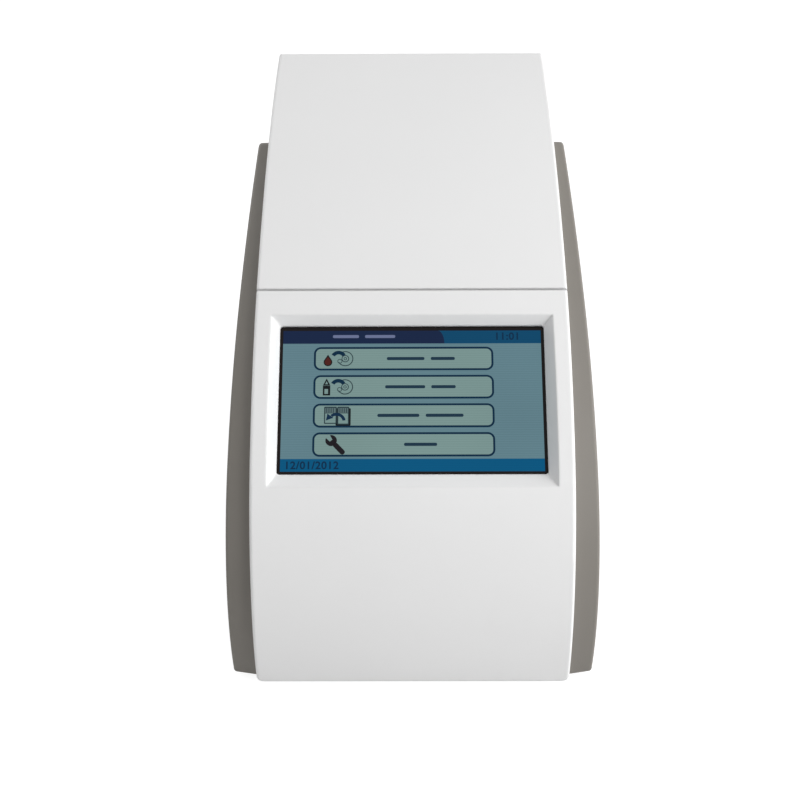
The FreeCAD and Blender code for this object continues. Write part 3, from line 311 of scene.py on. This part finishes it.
FINISHES = {
    "white_abs": satin_white_abs,
    "grey_abs": textured_grey_abs,
    "pale_grey_abs": satin_pale_grey_abs,
    "black_abs": matt_black_abs,
    "smoke_polycarbonate": polished_smoke_polycarbonate,
    "dark_acetal": turned_acetal,
    "steel": turned_steel,
    "zinc_plate": zinc_plated_steel,
    "aluminium": milled_aluminium,
    "nickel": nickel_plate,
    "seal_rubber": foam_seal_rubber,
    "foot_rubber": foot_rubber,
    "lens_glass": polished_lens_glass,
    "screen_glass": black_printed_glass,
    "board_green": coated_circuit_board,
}


def finish_of(context, slot_name):
    """The material for one of the record's slots, made once."""
    maker = FINISHES[slot_name]
    return bpy.data.materials.get(maker.__name__) or maker(context.scene.analyzer.colours)


def slot_of(node_name):
    """The record's material slot of a CAD node."""
    for part in frame["record"]["subparts"]:
        if part["node"] == node_name:
            return part["material_slot"]
    raise RuntimeError("the record has no part named " + node_name)


def dress(context, *node_names):
    """Give CAD nodes the finish of their slot."""
    for name in node_names:
        mesh = NODES[name].data
        mesh.materials.clear()
        mesh.materials.append(finish_of(context, slot_of(name)))


# Display plane, read from the glass itself

class DisplayPlane:
    """Local frame of the display: across to the right, up the slope and out of the glass."""

    def __init__(self):
        mesh = NODES["display_window"].data
        # the largest face that looks up and to the front
        front = max((p for p in mesh.polygons if p.normal.z > 0 and p.normal.y < -0.1), key=lambda p: p.area)
        self.across = Vector((1, 0, 0))
        self.out = front.normal.copy()
        self.up = self.out.cross(self.across)
        heights = [v.co.dot(self.up) for v in mesh.vertices]
        level = max(v.co.dot(self.out) for v in mesh.vertices)
        self.centre = self.up * (max(heights) + min(heights)) / 2 + self.out * level

    def at(self, x, u, lift=0.0):
        """A point given in millimetres from the middle of the glass front."""
        return self.centre + (self.across * x + self.up * u + self.out * lift) * MM

    def matrix(self, x, u, lift):
        """Placement of a flat shape on the glass, in millimetres."""
        turn = Matrix((self.across, self.up, self.out)).transposed().to_4x4()
        return Matrix.Translation(self.at(x, u, lift)) @ turn


PLANE = DisplayPlane()


# Flat outlines, in millimetres

def box_outline(x_low, x_high, u_low, u_high):
    """A rectangle."""
    return [(x_low, u_low), (x_high, u_low), (x_high, u_high), (x_low, u_high)]


def rounded_outline(x_low, x_high, u_low, u_high, radius, steps=8):
    """A rectangle with round corners."""
    corners = [(x_high - radius, u_high - radius, 0), (x_low + radius, u_high - radius, 90),
               (x_low + radius, u_low + radius, 180), (x_high - radius, u_low + radius, 270)]
    points = []
    for x, u, start in corners:
        for i in range(steps + 1):
            angle = math.radians(start + 90 * i / steps)
            points.append((x + radius * math.cos(angle), u + radius * math.sin(angle)))
    return points


def arc_band(x, u, inner, outer, start, end, steps=16):
    """A band along an arc, from one angle to another in degrees."""
    angles = [math.radians(start + (end - start) * i / steps) for i in range(steps + 1)]
    outside = [(x + outer * math.cos(a), u + outer * math.sin(a)) for a in angles]
    inside = [(x + inner * math.cos(a), u + inner * math.sin(a)) for a in reversed(angles)]
    return outside + inside


def drop_outline(x, u, radius, tip, steps=24):
    """A drop: a round belly that runs up to a point."""
    lean = math.degrees(math.acos(radius / tip))
    sweep = 360 - 2 * lean
    points = [(x, u + tip)]
    for i in range(steps + 1):
        angle = math.radians(90 + lean + sweep * i / steps)
        points.append((x + radius * math.cos(angle), u + radius * math.sin(angle)))
    return points


def turned(points, degrees, x, u):
    """An outline turned about its own origin and moved to a place."""
    c, s = math.cos(math.radians(degrees)), math.sin(math.radians(degrees))
    return [(x + c * px - s * pu, u + s * px + c * pu) for px, pu in points]


# Thickness of one layer of the picture, in millimetres: level 0 lies on the glass
LAYER = 0.02
DIGIT_SHARE = 0.7       # height of a digit as a share of the type size
DIGIT_SPACING = 1.08    # step from digit to digit, as a share of the font's own
DIGIT_BOLD = 0.08       # how far the strokes are thickened, in millimetres


def layer_piece(context, name, outlines, level, material):
    """One thin piece made of flat outlines, laid on the glass at a level of the picture."""
    bm = bmesh.new()
    for outline in outlines:
        lower = [bm.verts.new(PLANE.at(x, u, LAYER * level)) for x, u in outline]
        face = bm.faces.new(lower)
        upper = bmesh.ops.extrude_face_region(bm, geom=[face])
        verts = [v for v in upper["geom"] if isinstance(v, bmesh.types.BMVert)]
        bmesh.ops.translate(bm, vec=PLANE.out * LAYER * MM, verts=verts)
    bmesh.ops.recalc_face_normals(bm, faces=bm.faces)
    return finished_piece(context, name, bm, material, "base")


def finished_piece(context, name, bm, material, body):
    """Turn a bmesh into a named piece with its finish, riding on a body."""
    mesh = bpy.data.meshes.new(name)
    bm.to_mesh(mesh)
    bm.free()
    mesh.materials.append(material)
    piece = bpy.data.objects.new(name, mesh)
    context.scene.collection.objects.link(piece)
    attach(piece, body)
    return piece


def digits_piece(context, name, text, x, u, height, level, material):
    """Plain digits as a thin flat piece, with their left end at x and their foot at u."""
    curve = bpy.data.curves.new(name + "_curve", "FONT")
    curve.body = text
    curve.size = height * MM / DIGIT_SHARE
    curve.space_character = DIGIT_SPACING
    curve.offset = DIGIT_BOLD * MM
    curve.extrude = LAYER * MM / 2
    text_object = bpy.data.objects.new(name + "_curve", curve)
    context.scene.collection.objects.link(text_object)
    context.view_layer.update()
    solid = bpy.data.meshes.new_from_object(text_object.evaluated_get(context.evaluated_depsgraph_get()))
    bpy.data.objects.remove(text_object)
    bm = bmesh.new()
    bm.from_mesh(solid)
    bpy.data.meshes.remove(solid)
    bmesh.ops.transform(bm, matrix=PLANE.matrix(x, u, LAYER * level), verts=bm.verts)
    return finished_piece(context, name, bm, material, "base")


# Settings

def tint(name, description, hex_colour):
    """A colour setting, as an sRGB hex value."""
    return bpy.props.StringProperty(name=name, description=description, default=hex_colour)


def length(name, description, millimetres):
    """A length setting."""
    return bpy.props.FloatProperty(name=name, description=description, default=millimetres * MM,
                                   subtype="DISTANCE", unit="LENGTH", precision=5)


def view_angle(name, description, degrees):
    """An angle of the camera."""
    return bpy.props.FloatProperty(name=name, description=description, default=math.radians(degrees),
                                   subtype="ANGLE", unit="ROTATION")


def watts(name, description, power):
    """The power of a lamp."""
    return bpy.props.FloatProperty(name=name, description=description, default=power,
                                   subtype="POWER", unit="POWER")


class AnalyzerColours(bpy.types.PropertyGroup):
    """Colours of the plastics and of the lit display, as sRGB hex values."""
    white_light: tint("White, light", "White housing", "#ececec")
    white_dark: tint("White, dark", "White in its deeper tone", "#e8e8e8")
    grey_light: tint("Cover, light", "Warm grey side cover", "#7e7a74")
    grey_dark: tint("Cover, dark", "Side cover in its deeper tone", "#77736d")
    deck_light: tint("Deck, light", "Disc compartment", "#c4c7ca")
    deck_dark: tint("Deck, dark", "Compartment in its deeper tone", "#bcbfc3")
    glass_border: tint("Glass border", "Print round the display", "#150f0e")
    picture_ground: tint("Picture ground", "Field behind the keys", "#62828c")
    title_bar: tint("Title bar", "Dark bar at the top left", "#172645")
    clock_bar: tint("Clock bar", "Bar at the top right", "#0a476a")
    foot_bar: tint("Foot bar", "Bar at the bottom", "#02557e")
    key_fill: tint("Key fill", "Inside of the four keys", "#7b9693")
    key_outline: tint("Key outline", "Outline and marks of the keys", "#062a42")
    label: tint("Label", "Bars in place of words", "#1c3446")
    title_label: tint("Title label", "Bars in place of the title", "#6a7394")
    digits: tint("Digits", "Clock and date", "#0b2c48")


class AnalyzerPicture(bpy.types.PropertyGroup):
    """Sizes of the display picture."""
    width: length("Width", "Lit width", 95.4)
    height: length("Height", "Lit height", 54.4)
    rise: length("Rise", "Middle of the picture above that of the glass", -0.1)
    title_bar_height: length("Bar height", "Height of the top bar", 5.1)
    foot_bar_height: length("Foot height", "Height of the bottom bar", 4.75)
    title_end: length("Title end", "Where the dark bar ends, from the middle", 12.0)
    key_left: length("Key left", "Left edge of the keys, from the middle", -36.2)
    key_right: length("Key right", "Right edge of the keys, from the middle", 30.0)
    key_top: length("Key top", "Top of the first key, above the middle", 20.75)
    key_height: length("Key height", "Height of one key", 9.2)
    key_pitch: length("Key pitch", "From key to key", 11.05)
    key_corner: length("Key corner", "Corner radius of a key", 2.6)
    line_width: length("Line", "Width of the key outline", 0.75)
    digit_height: length("Digit height", "Height of the clock and the date", 2.8)


class AnalyzerStudio(bpy.types.PropertyGroup):
    """Camera and lamps."""
    camera_place: bpy.props.FloatVectorProperty(name="Camera", description="Place of the camera", size=3,
                                                subtype="TRANSLATION", unit="LENGTH",
                                                default=(-0.0014, -0.564, 0.3488))
    camera_tilt: view_angle("Tilt", "How far the camera looks down", 26.955)
    camera_turn: view_angle("Turn", "How far the camera looks to the right", -0.356)
    camera_roll: view_angle("Roll", "How far the camera leans to the right", 0.3)
    focal_length: bpy.props.FloatProperty(name="Focal length", description="In millimetres on a 36 mm frame",
                                          default=67.62, unit="CAMERA")
    key_power: watts("Key", "Softbox high on the right", 12.8)
    side_power: watts("Side", "Softbox level with the right side", 6.8)
    back_power: watts("Back", "Softbox behind the left shoulder", 3.2)
    left_power: watts("Left", "Softbox high on the left", 2.0)
    ambient: bpy.props.FloatProperty(name="Ambient", description="Light of the room", default=0.3)


class AnalyzerSettings(bpy.types.PropertyGroup):
    """Everything that a user would change."""
    colours: bpy.props.PointerProperty(type=AnalyzerColours)
    picture: bpy.props.PointerProperty(type=AnalyzerPicture)
    studio: bpy.props.PointerProperty(type=AnalyzerStudio)


def in_millimetres(group):
    """The lengths of a settings group as plain numbers in millimetres."""
    return SimpleNamespace(**{name: getattr(group, name) / MM for name in type(group).__annotations__})


# Operators, one for each group of pieces

class ANALYZER_OT_housing(bpy.types.Operator):
    """Finish the shells, side covers, liners, base and feet"""
    bl_idname = "analyzer.housing"
    bl_label = "Housing"

    def execute(self, context):
        dress(context, "front_shell", "rear_shell", "base_tray", "left_side_cover", "right_side_cover",
              "left_fin_liner", "right_fin_liner", "foot_front_left", "foot_front_right",
              "foot_rear_left", "foot_rear_right")
        return {"FINISHED"}


class ANALYZER_OT_lid(bpy.types.Operator):
    """Finish the lid, its liner, its seal and its hinge pins"""
    bl_idname = "analyzer.lid"
    bl_label = "Lid"

    def execute(self, context):
        dress(context, "lid_shell", "lid_liner", "lid_seal", "hinge_pin_left", "hinge_pin_right")
        return {"FINISHED"}


class ANALYZER_OT_disc_drive(bpy.types.Operator):
    """Finish the disc compartment, its cover, the drive, the optics and the lid lock"""
    bl_idname = "analyzer.disc_drive"
    bl_label = "Disc drive"

    def execute(self, context):
        dress(context, "deck_tray", "chassis_frame", "disc_cover", "cover_pin", "clamp_puck",
              "puck_retainer", "turntable", "spindle_shaft", "spindle_motor", "heater_plate",
              "optics_block", "code_reader", "lens_left", "lens_right", "lock_solenoid", "lock_plunger")
        return {"FINISHED"}


class ANALYZER_OT_electronics(bpy.types.Operator):
    """Finish the boards, the sockets, the cell, the speaker and the power button"""
    bl_idname = "analyzer.electronics"
    bl_label = "Electronics"

    def execute(self, context):
        dress(context, "display_bracket", "display_board", "main_board", "usb_host_port", "usb_device_port",
              "dc_inlet", "coin_cell", "speaker", "power_button", "power_switch", "power_spring")
        return {"FINISHED"}


class ANALYZER_OT_fasteners(bpy.types.Operator):
    """Finish the screws"""
    bl_idname = "analyzer.fasteners"
    bl_label = "Fasteners"

    def execute(self, context):
        dress(context, "motor_screws", "base_screws", "deck_screws", "cover_screws")
        return {"FINISHED"}


# Colours of the small marks on the keys
MARK_GREY = "#2a3c42"
MARK_BLACK = "#14181b"
DROP_RED = "#4e211c"
PAGE_HEAD = "#5c7072"
ARROW_BLUE = "#0f2c47"
SPANNER_BLACK = "#1e1a20"

# Where the plain bars stand across the picture, in millimetres from its middle
KEY_BARS = (
    ((-9.3, 4.6), (6.9, 15.8)),
    ((-9.9, 4.8), (7.0, 16.0)),
    ((-12.7, 2.6), (4.9, 18.7)),
    ((-3.0, 9.0),),
)
TITLE_BARS = ((-29.3, -19.6), (-17.4, -6.2))
TITLE_BARS_RISE = 0.25
BAR_HALF = 0.6          # half the height of a plain bar
BAR_CORNER = 0.55
TAB_ROUND = 2.4         # run of the round end of the title bar
TAB_LAP = 3.0           # how far the clock bar reaches behind it
CLOCK_LEFT = 30.5
CLOCK_DROP = 3.65       # foot of the clock's digits below the top of the picture
DATE_LEFT = -46.2
DATE_RISE = 1.0         # foot of the date's digits above the bottom of the picture


def plain_bars(spans, middle):
    """Bars with round ends at a height of the picture."""
    return [rounded_outline(left, right, middle - BAR_HALF, middle + BAR_HALF, BAR_CORNER, 5)
            for left, right in spans]


class ANALYZER_OT_display(bpy.types.Operator):
    """Finish the glass and lay the lit picture on it: bars, keys, pictograms and plain digits"""
    bl_idname = "analyzer.display"
    bl_label = "Display"

    def execute(self, context):
        dress(context, "display_window", "lcd_module")
        picture = in_millimetres(context.scene.analyzer.picture)
        colours = context.scene.analyzer.colours
        ink = lit_picture("key_outline_glow", colours.key_outline, 0.05)
        fill = lit_picture("key_fill_glow", colours.key_fill, 0.09)
        top = picture.height / 2 + picture.rise
        bottom = -picture.height / 2 + picture.rise
        key_tops = [picture.key_top + picture.rise - i * picture.key_pitch for i in range(len(KEY_BARS))]
        middles = [key_top - picture.key_height / 2 for key_top in key_tops]
        self.bars(context, picture, colours, bottom, top)
        self.keys(context, picture, key_tops, ink, fill)
        self.pictograms(context, middles, ink, fill)
        self.labels(context, colours, middles, top - picture.title_bar_height / 2)
        digit_ink = lit_picture("digit_glow", colours.digits, 0.02)
        digits_piece(context, "clock_digits", "11:01", CLOCK_LEFT, top - CLOCK_DROP, picture.digit_height, 3,
                     digit_ink)
        digits_piece(context, "date_digits", "12/01/2012", DATE_LEFT, bottom + DATE_RISE,
                     picture.digit_height, 3, digit_ink)
        return {"FINISHED"}

    def bars(self, context, picture, colours, bottom, top):
        """The lit ground, the clock bar, the title bar with its round end, and the foot bar."""
        side = picture.width / 2
        layer_piece(context, "picture_ground", [rounded_outline(-side, side, bottom, top, 0.05)], 0,
                    lit_picture("picture_ground_glow", colours.picture_ground, 0.09))
        low, end = top - picture.title_bar_height, picture.title_end
        layer_piece(context, "clock_bar", [box_outline(end - TAB_LAP, side, low, top)], 1,
                    lit_picture("clock_bar_glow", colours.clock_bar, 0.06))
        title = [(-side, top), (-side, low), (end, low)]
        title += [(end - TAB_ROUND * (1 - math.cos(a)), low + picture.title_bar_height * math.sin(a))
                  for a in (math.radians(15 * i) for i in range(1, 7))]
        layer_piece(context, "title_bar", [title], 2, lit_picture("title_bar_glow", colours.title_bar, 0.06))
        foot = box_outline(-side, side, bottom, bottom + picture.foot_bar_height)
        layer_piece(context, "foot_bar", [foot], 1, lit_picture("foot_bar_glow", colours.foot_bar, 0.06))

    def keys(self, context, picture, key_tops, ink, fill):
        """Four keys with round corners, each an outline with its lighter inside on it."""
        outlines, fills = [], []
        line = picture.line_width
        for key_top in key_tops:
            low = key_top - picture.key_height
            outlines.append(rounded_outline(picture.key_left, picture.key_right, low, key_top,
                                            picture.key_corner))
            fills.append(rounded_outline(picture.key_left + line, picture.key_right - line, low + line,
                                         key_top - line, picture.key_corner - line))
        layer_piece(context, "key_outlines", outlines, 1, ink)
        layer_piece(context, "key_fills", fills, 2, fill)

    def pictograms(self, context, middles, ink, fill):
        """Plain marks at the left of the keys: a drop, a bottle, two pages and a spanner."""
        grey = lit_picture("mark_grey_glow", MARK_GREY, 0.03)
        black = lit_picture("mark_black_glow", MARK_BLACK, 0.03)
        self.disc_marks(context, middles[:2], ink, grey)
        self.drop(context, middles[0], black)
        light_fields = self.bottle(context, middles[1], black)
        self.pages(context, middles[2], grey, black, fill, light_fields)
        self.spanner(context, middles[3])

    def disc_marks(self, context, middles, ink, grey):
        """A test disc with its hub, and a swing of a hand over it, on each test key."""
        disc_x, hand_x, hole_x = -24.6, -27.1, -26.6
        swings, rings = [], []
        for u in middles:
            swings.append(arc_band(hand_x, u + 0.1, 1.6, 3.0, 30, 150))
            rings.append(arc_band(disc_x, u, 2.6, 2.95, -150, 120, 40))
            rings.append(arc_band(disc_x, u, 1.1, 1.4, 0, 359.9, 24))
            rings.append(arc_band(disc_x, u, 0.35, 0.6, 0, 359.9, 16))
            rings.append(arc_band(hole_x, u - 1.0, 0.65, 0.9, 0, 359.9, 20))
        layer_piece(context, "disc_rings", rings, 3, grey)
        layer_piece(context, "swing_marks", swings, 4, ink)

    def drop(self, context, u, black):
        """A drop with a dark edge."""
        x, belly = -31.0, u - 1.35
        layer_piece(context, "drop_outline", [drop_outline(x, belly, 1.6, 2.95)], 3, black)
        layer_piece(context, "drop_mark", [drop_outline(x, belly, 1.2, 2.15)], 4,
                    lit_picture("drop_glow", DROP_RED, 0.03))

    def bottle(self, context, u, black):
        """A bottle with a pointed cap. The light fields of its label and its cap are returned."""
        x, half = -31.35, 1.35
        body = box_outline(x - half, x + half, u - 3.3, u + 0.5)
        cap = [(x - half, u + 0.6), (x + half, u + 0.6), (x, u + 3.3)]
        layer_piece(context, "bottle_mark", [body, cap], 3, black)
        return [box_outline(x - 0.75, x + 0.55, u - 2.7, u - 0.8),
                [(x - 0.55, u + 1.05), (x + 0.55, u + 1.05), (x, u + 2.2)]]

    def pages(self, context, u, grey, black, fill, light_fields):
        """Two pages with hatched heads, their shadow, and an arrow that turns back over them."""
        high = u + 3.4
        shadow = rounded_outline(-27.9, -22.4, u - 3.9, u + 2.8, 0.3, 2)
        layer_piece(context, "page_shadow", [shadow], 3, black)
        layer_piece(context, "page_frames", [rounded_outline(-32.1, -27.5, u - 3.2, high, 0.3, 2),
                                             rounded_outline(-27.3, -23.0, u - 3.5, high, 0.3, 2)], 4, grey)
        sheets = ((-31.7, -27.9, u - 2.8), (-26.9, -23.4, u - 3.1))
        head, hatch_width, hatch_steps = u + 1.0, 0.3, (0.4, 1.2, 2.0, 2.8)
        layer_piece(context, "page_tops", [rounded_outline(left, right, head, high - 0.5, 0.1, 1)
                                           for left, right, low in sheets], 5,
                    lit_picture("page_top_glow", PAGE_HEAD, 0.03))
        hatches = [rounded_outline(left + step, left + step + hatch_width, head + 0.1, high - 0.6, 0.05, 1)
                   for left, right, low in sheets for step in hatch_steps]
        layer_piece(context, "page_hatching", hatches, 6, grey)
        papers = [rounded_outline(left, right, low, head - 0.2, 0.1, 1) for left, right, low in sheets]
        layer_piece(context, "mark_fills", light_fields + papers, 5, fill)
        shaft = arc_band(-27.6, u - 2.4, 2.3, 3.4, 10, 130)
        point = [(-31.4, u - 1.9), (-30.9, u + 0.7), (-28.7, u - 0.9)]
        layer_piece(context, "page_arrow", [shaft, point], 6, lit_picture("arrow_glow", ARROW_BLUE, 0.03))

    def spanner(self, context, u):
        """An open spanner: a round head with a notch, and a handle that hangs down to the right."""
        x, u = -29.4, u + 1.5
        radius, half_notch, start, end, steps = 2.1, 0.6, 115, 425, 20
        around = [math.radians(start + (end - start) * i / steps) for i in range(steps + 1)]
        head = [(radius * math.cos(a), radius * math.sin(a)) for a in around]
        head += [(half_notch, 0), (-half_notch, 0)]
        handle = rounded_outline(-0.95, 0.95, -6.9, -1.5, 0.9, 4)
        layer_piece(context, "spanner_mark", [turned(head, 38, x, u), turned(handle, 43, x, u)], 3,
                    lit_picture("spanner_glow", SPANNER_BLACK, 0.03))

    def labels(self, context, colours, middles, title_middle):
        """Plain bars where the keys and the title have their words."""
        bars = [bar for spans, middle in zip(KEY_BARS, middles) for bar in plain_bars(spans, middle)]
        layer_piece(context, "key_labels", bars, 3, lit_picture("label_glow", colours.label, 0.04))
        layer_piece(context, "title_label", plain_bars(TITLE_BARS, title_middle + TITLE_BARS_RISE), 3,
                    lit_picture("title_glow", colours.title_label, 0.04))


# The softboxes: where each stands and its edge, in metres
SOFTBOXES = {
    "key": ((0.95, -0.65, 0.75), 0.9),
    "side": ((1.15, 0.05, 0.45), 0.8),
    "back": ((-0.9, 0.7, 0.8), 0.8),
    "left": ((-0.95, -0.2, 0.85), 0.8),
}
FLOOR_HALF = 6.0            # half the edge of the floor, in metres
FLOOR_PAPER = ("#e6e6e6", "#e9e9e9")
FLOOR_SHADE = "#979797"     # how strongly the eye sees the lamps' light on the floor
FLOOR_GLOW = 0.9            # what the floor adds to that by itself


class ANALYZER_OT_stage(bpy.types.Operator):
    """Set up the pale floor, the plain room, four soft lamps and the camera"""
    bl_idname = "analyzer.stage"
    bl_label = "Studio"

    def execute(self, context):
        studio = context.scene.analyzer.studio
        self.floor(context)
        self.room(context, studio)
        for name, (place, size) in SOFTBOXES.items():
            self.lamp(context, name + "_softbox", place, size, getattr(studio, name + "_power"))
        self.camera(context, studio)
        context.scene.view_settings.view_transform = "Standard"
        return {"FINISHED"}

    def floor(self, context):
        """A large pale floor that keeps the object's shadow. Seen by the eye it glows just short of white,
        and the lamps' light fills the rest; for light on the object it is plain paper."""
        bm = bmesh.new()
        bmesh.ops.create_grid(bm, x_segments=1, y_segments=1, size=FLOOR_HALF)
        mesh = bpy.data.meshes.new("studio_floor")
        bm.to_mesh(mesh)
        bm.free()
        floor = bpy.data.objects.new("studio_floor", mesh)
        context.scene.collection.objects.link(floor)
        material, output = new_material("white_studio_paper")
        tree = material.node_tree
        fibre = noise_at(tree, 2.0, 3.0).outputs["Fac"]
        paper = add_node(tree, "ShaderNodeBsdfDiffuse", {"Color": two_tone(tree, fibre, *FLOOR_PAPER)})
        shade = add_node(tree, "ShaderNodeBsdfDiffuse", inputs={"Color": linear(FLOOR_SHADE)})
        glow = add_node(tree, "ShaderNodeEmission", inputs={"Color": (1, 1, 1, 1), "Strength": FLOOR_GLOW})
        both = add_node(tree, "ShaderNodeAddShader", {0: shade.outputs[0], 1: glow.outputs[0]})
        mix = add_node(tree, "ShaderNodeMixShader", {0: seen_directly(tree), 1: paper.outputs[0],
                                                     2: both.outputs[0]})
        tree.links.new(mix.outputs[0], output.inputs["Surface"])
        floor.data.materials.append(material)

    def room(self, context, studio):
        """A white room to look at, and a weak even light on the object."""
        world = bpy.data.worlds.new("studio_room")
        world.use_nodes = True
        tree = world.node_tree
        tree.nodes.clear()
        output = add_node(tree, "ShaderNodeOutputWorld")
        seen = add_node(tree, "ShaderNodeBackground", inputs={"Color": (1, 1, 1, 1), "Strength": 1.0})
        light = add_node(tree, "ShaderNodeBackground", inputs={"Color": (1, 1, 1, 1),
                                                               "Strength": studio.ambient})
        mix = add_node(tree, "ShaderNodeMixShader", {0: seen_directly(tree), 1: light.outputs[0],
                                                     2: seen.outputs[0]})
        tree.links.new(mix.outputs[0], output.inputs["Surface"])
        context.scene.world = world

    def lamp(self, context, name, place, size, power):
        """A square softbox aimed at the middle of the object."""
        data = bpy.data.lights.new(name, "AREA")
        data.shape = "SQUARE"
        data.size = size
        data.energy = power
        lamp = bpy.data.objects.new(name, data)
        lamp.location = place
        middle = (Vector(CAD_BOX[0]) + Vector(CAD_BOX[1])) / 2
        lamp.rotation_euler = (middle - lamp.location).to_track_quat("-Z", "Y").to_euler()
        context.scene.collection.objects.link(lamp)

    def camera(self, context, studio):
        """The camera of the photograph: in front, a little above, looking down."""
        data = bpy.data.cameras.new("studio_camera")
        data.lens = studio.focal_length
        data.sensor_width = 36.0
        camera = bpy.data.objects.new("studio_camera", data)
        turn = Matrix.Rotation(-studio.camera_turn, 4, "Z")
        tilt = Matrix.Rotation(math.pi / 2 - studio.camera_tilt, 4, "X")
        roll = Matrix.Rotation(-studio.camera_roll, 4, "Z")
        camera.matrix_world = Matrix.Translation(Vector(studio.camera_place)) @ turn @ tilt @ roll
        context.scene.collection.objects.link(camera)
        context.scene.camera = camera


def seen_directly(tree):
    """1 for rays from the camera, from a reflection or through glass, and 0 for light on the object."""
    path = add_node(tree, "ShaderNodeLightPath")
    some = add_node(tree, "ShaderNodeMath", {0: path.outputs["Is Camera Ray"],
                                             1: path.outputs["Is Glossy Ray"]}, operation="MAXIMUM")
    return add_node(tree, "ShaderNodeMath", {0: some.outputs[0], 1: path.outputs["Is Transmission Ray"]},
                    operation="MAXIMUM").outputs[0]


class ANALYZER_PT_panel(bpy.types.Panel):
    """Lists the steps that dress the analyzer"""
    bl_idname = "ANALYZER_PT_panel"
    bl_label = "Analyzer"
    bl_space_type = "VIEW_3D"
    bl_region_type = "UI"
    bl_category = "Analyzer"

    def draw(self, context):
        for operator in OPERATORS:
            self.layout.operator(operator.bl_idname)


OPERATORS = (ANALYZER_OT_housing, ANALYZER_OT_lid, ANALYZER_OT_disc_drive, ANALYZER_OT_electronics,
             ANALYZER_OT_fasteners, ANALYZER_OT_display, ANALYZER_OT_stage)
CLASSES = (AnalyzerColours, AnalyzerPicture, AnalyzerStudio, AnalyzerSettings) + OPERATORS + (
    ANALYZER_PT_panel,)


def register():
    for cls in CLASSES:
        bpy.utils.register_class(cls)
    bpy.types.Scene.analyzer = bpy.props.PointerProperty(type=AnalyzerSettings)


def unregister():
    del bpy.types.Scene.analyzer
    for cls in reversed(CLASSES):
        bpy.utils.unregister_class(cls)


def main():
    """Dress the analyzer and set the studio."""
    register()
    bpy.ops.analyzer.housing()
    bpy.ops.analyzer.lid()
    bpy.ops.analyzer.disc_drive()
    bpy.ops.analyzer.electronics()
    bpy.ops.analyzer.fasteners()
    bpy.ops.analyzer.display()
    bpy.ops.analyzer.stage()


if __name__ == "__main__":
    main()
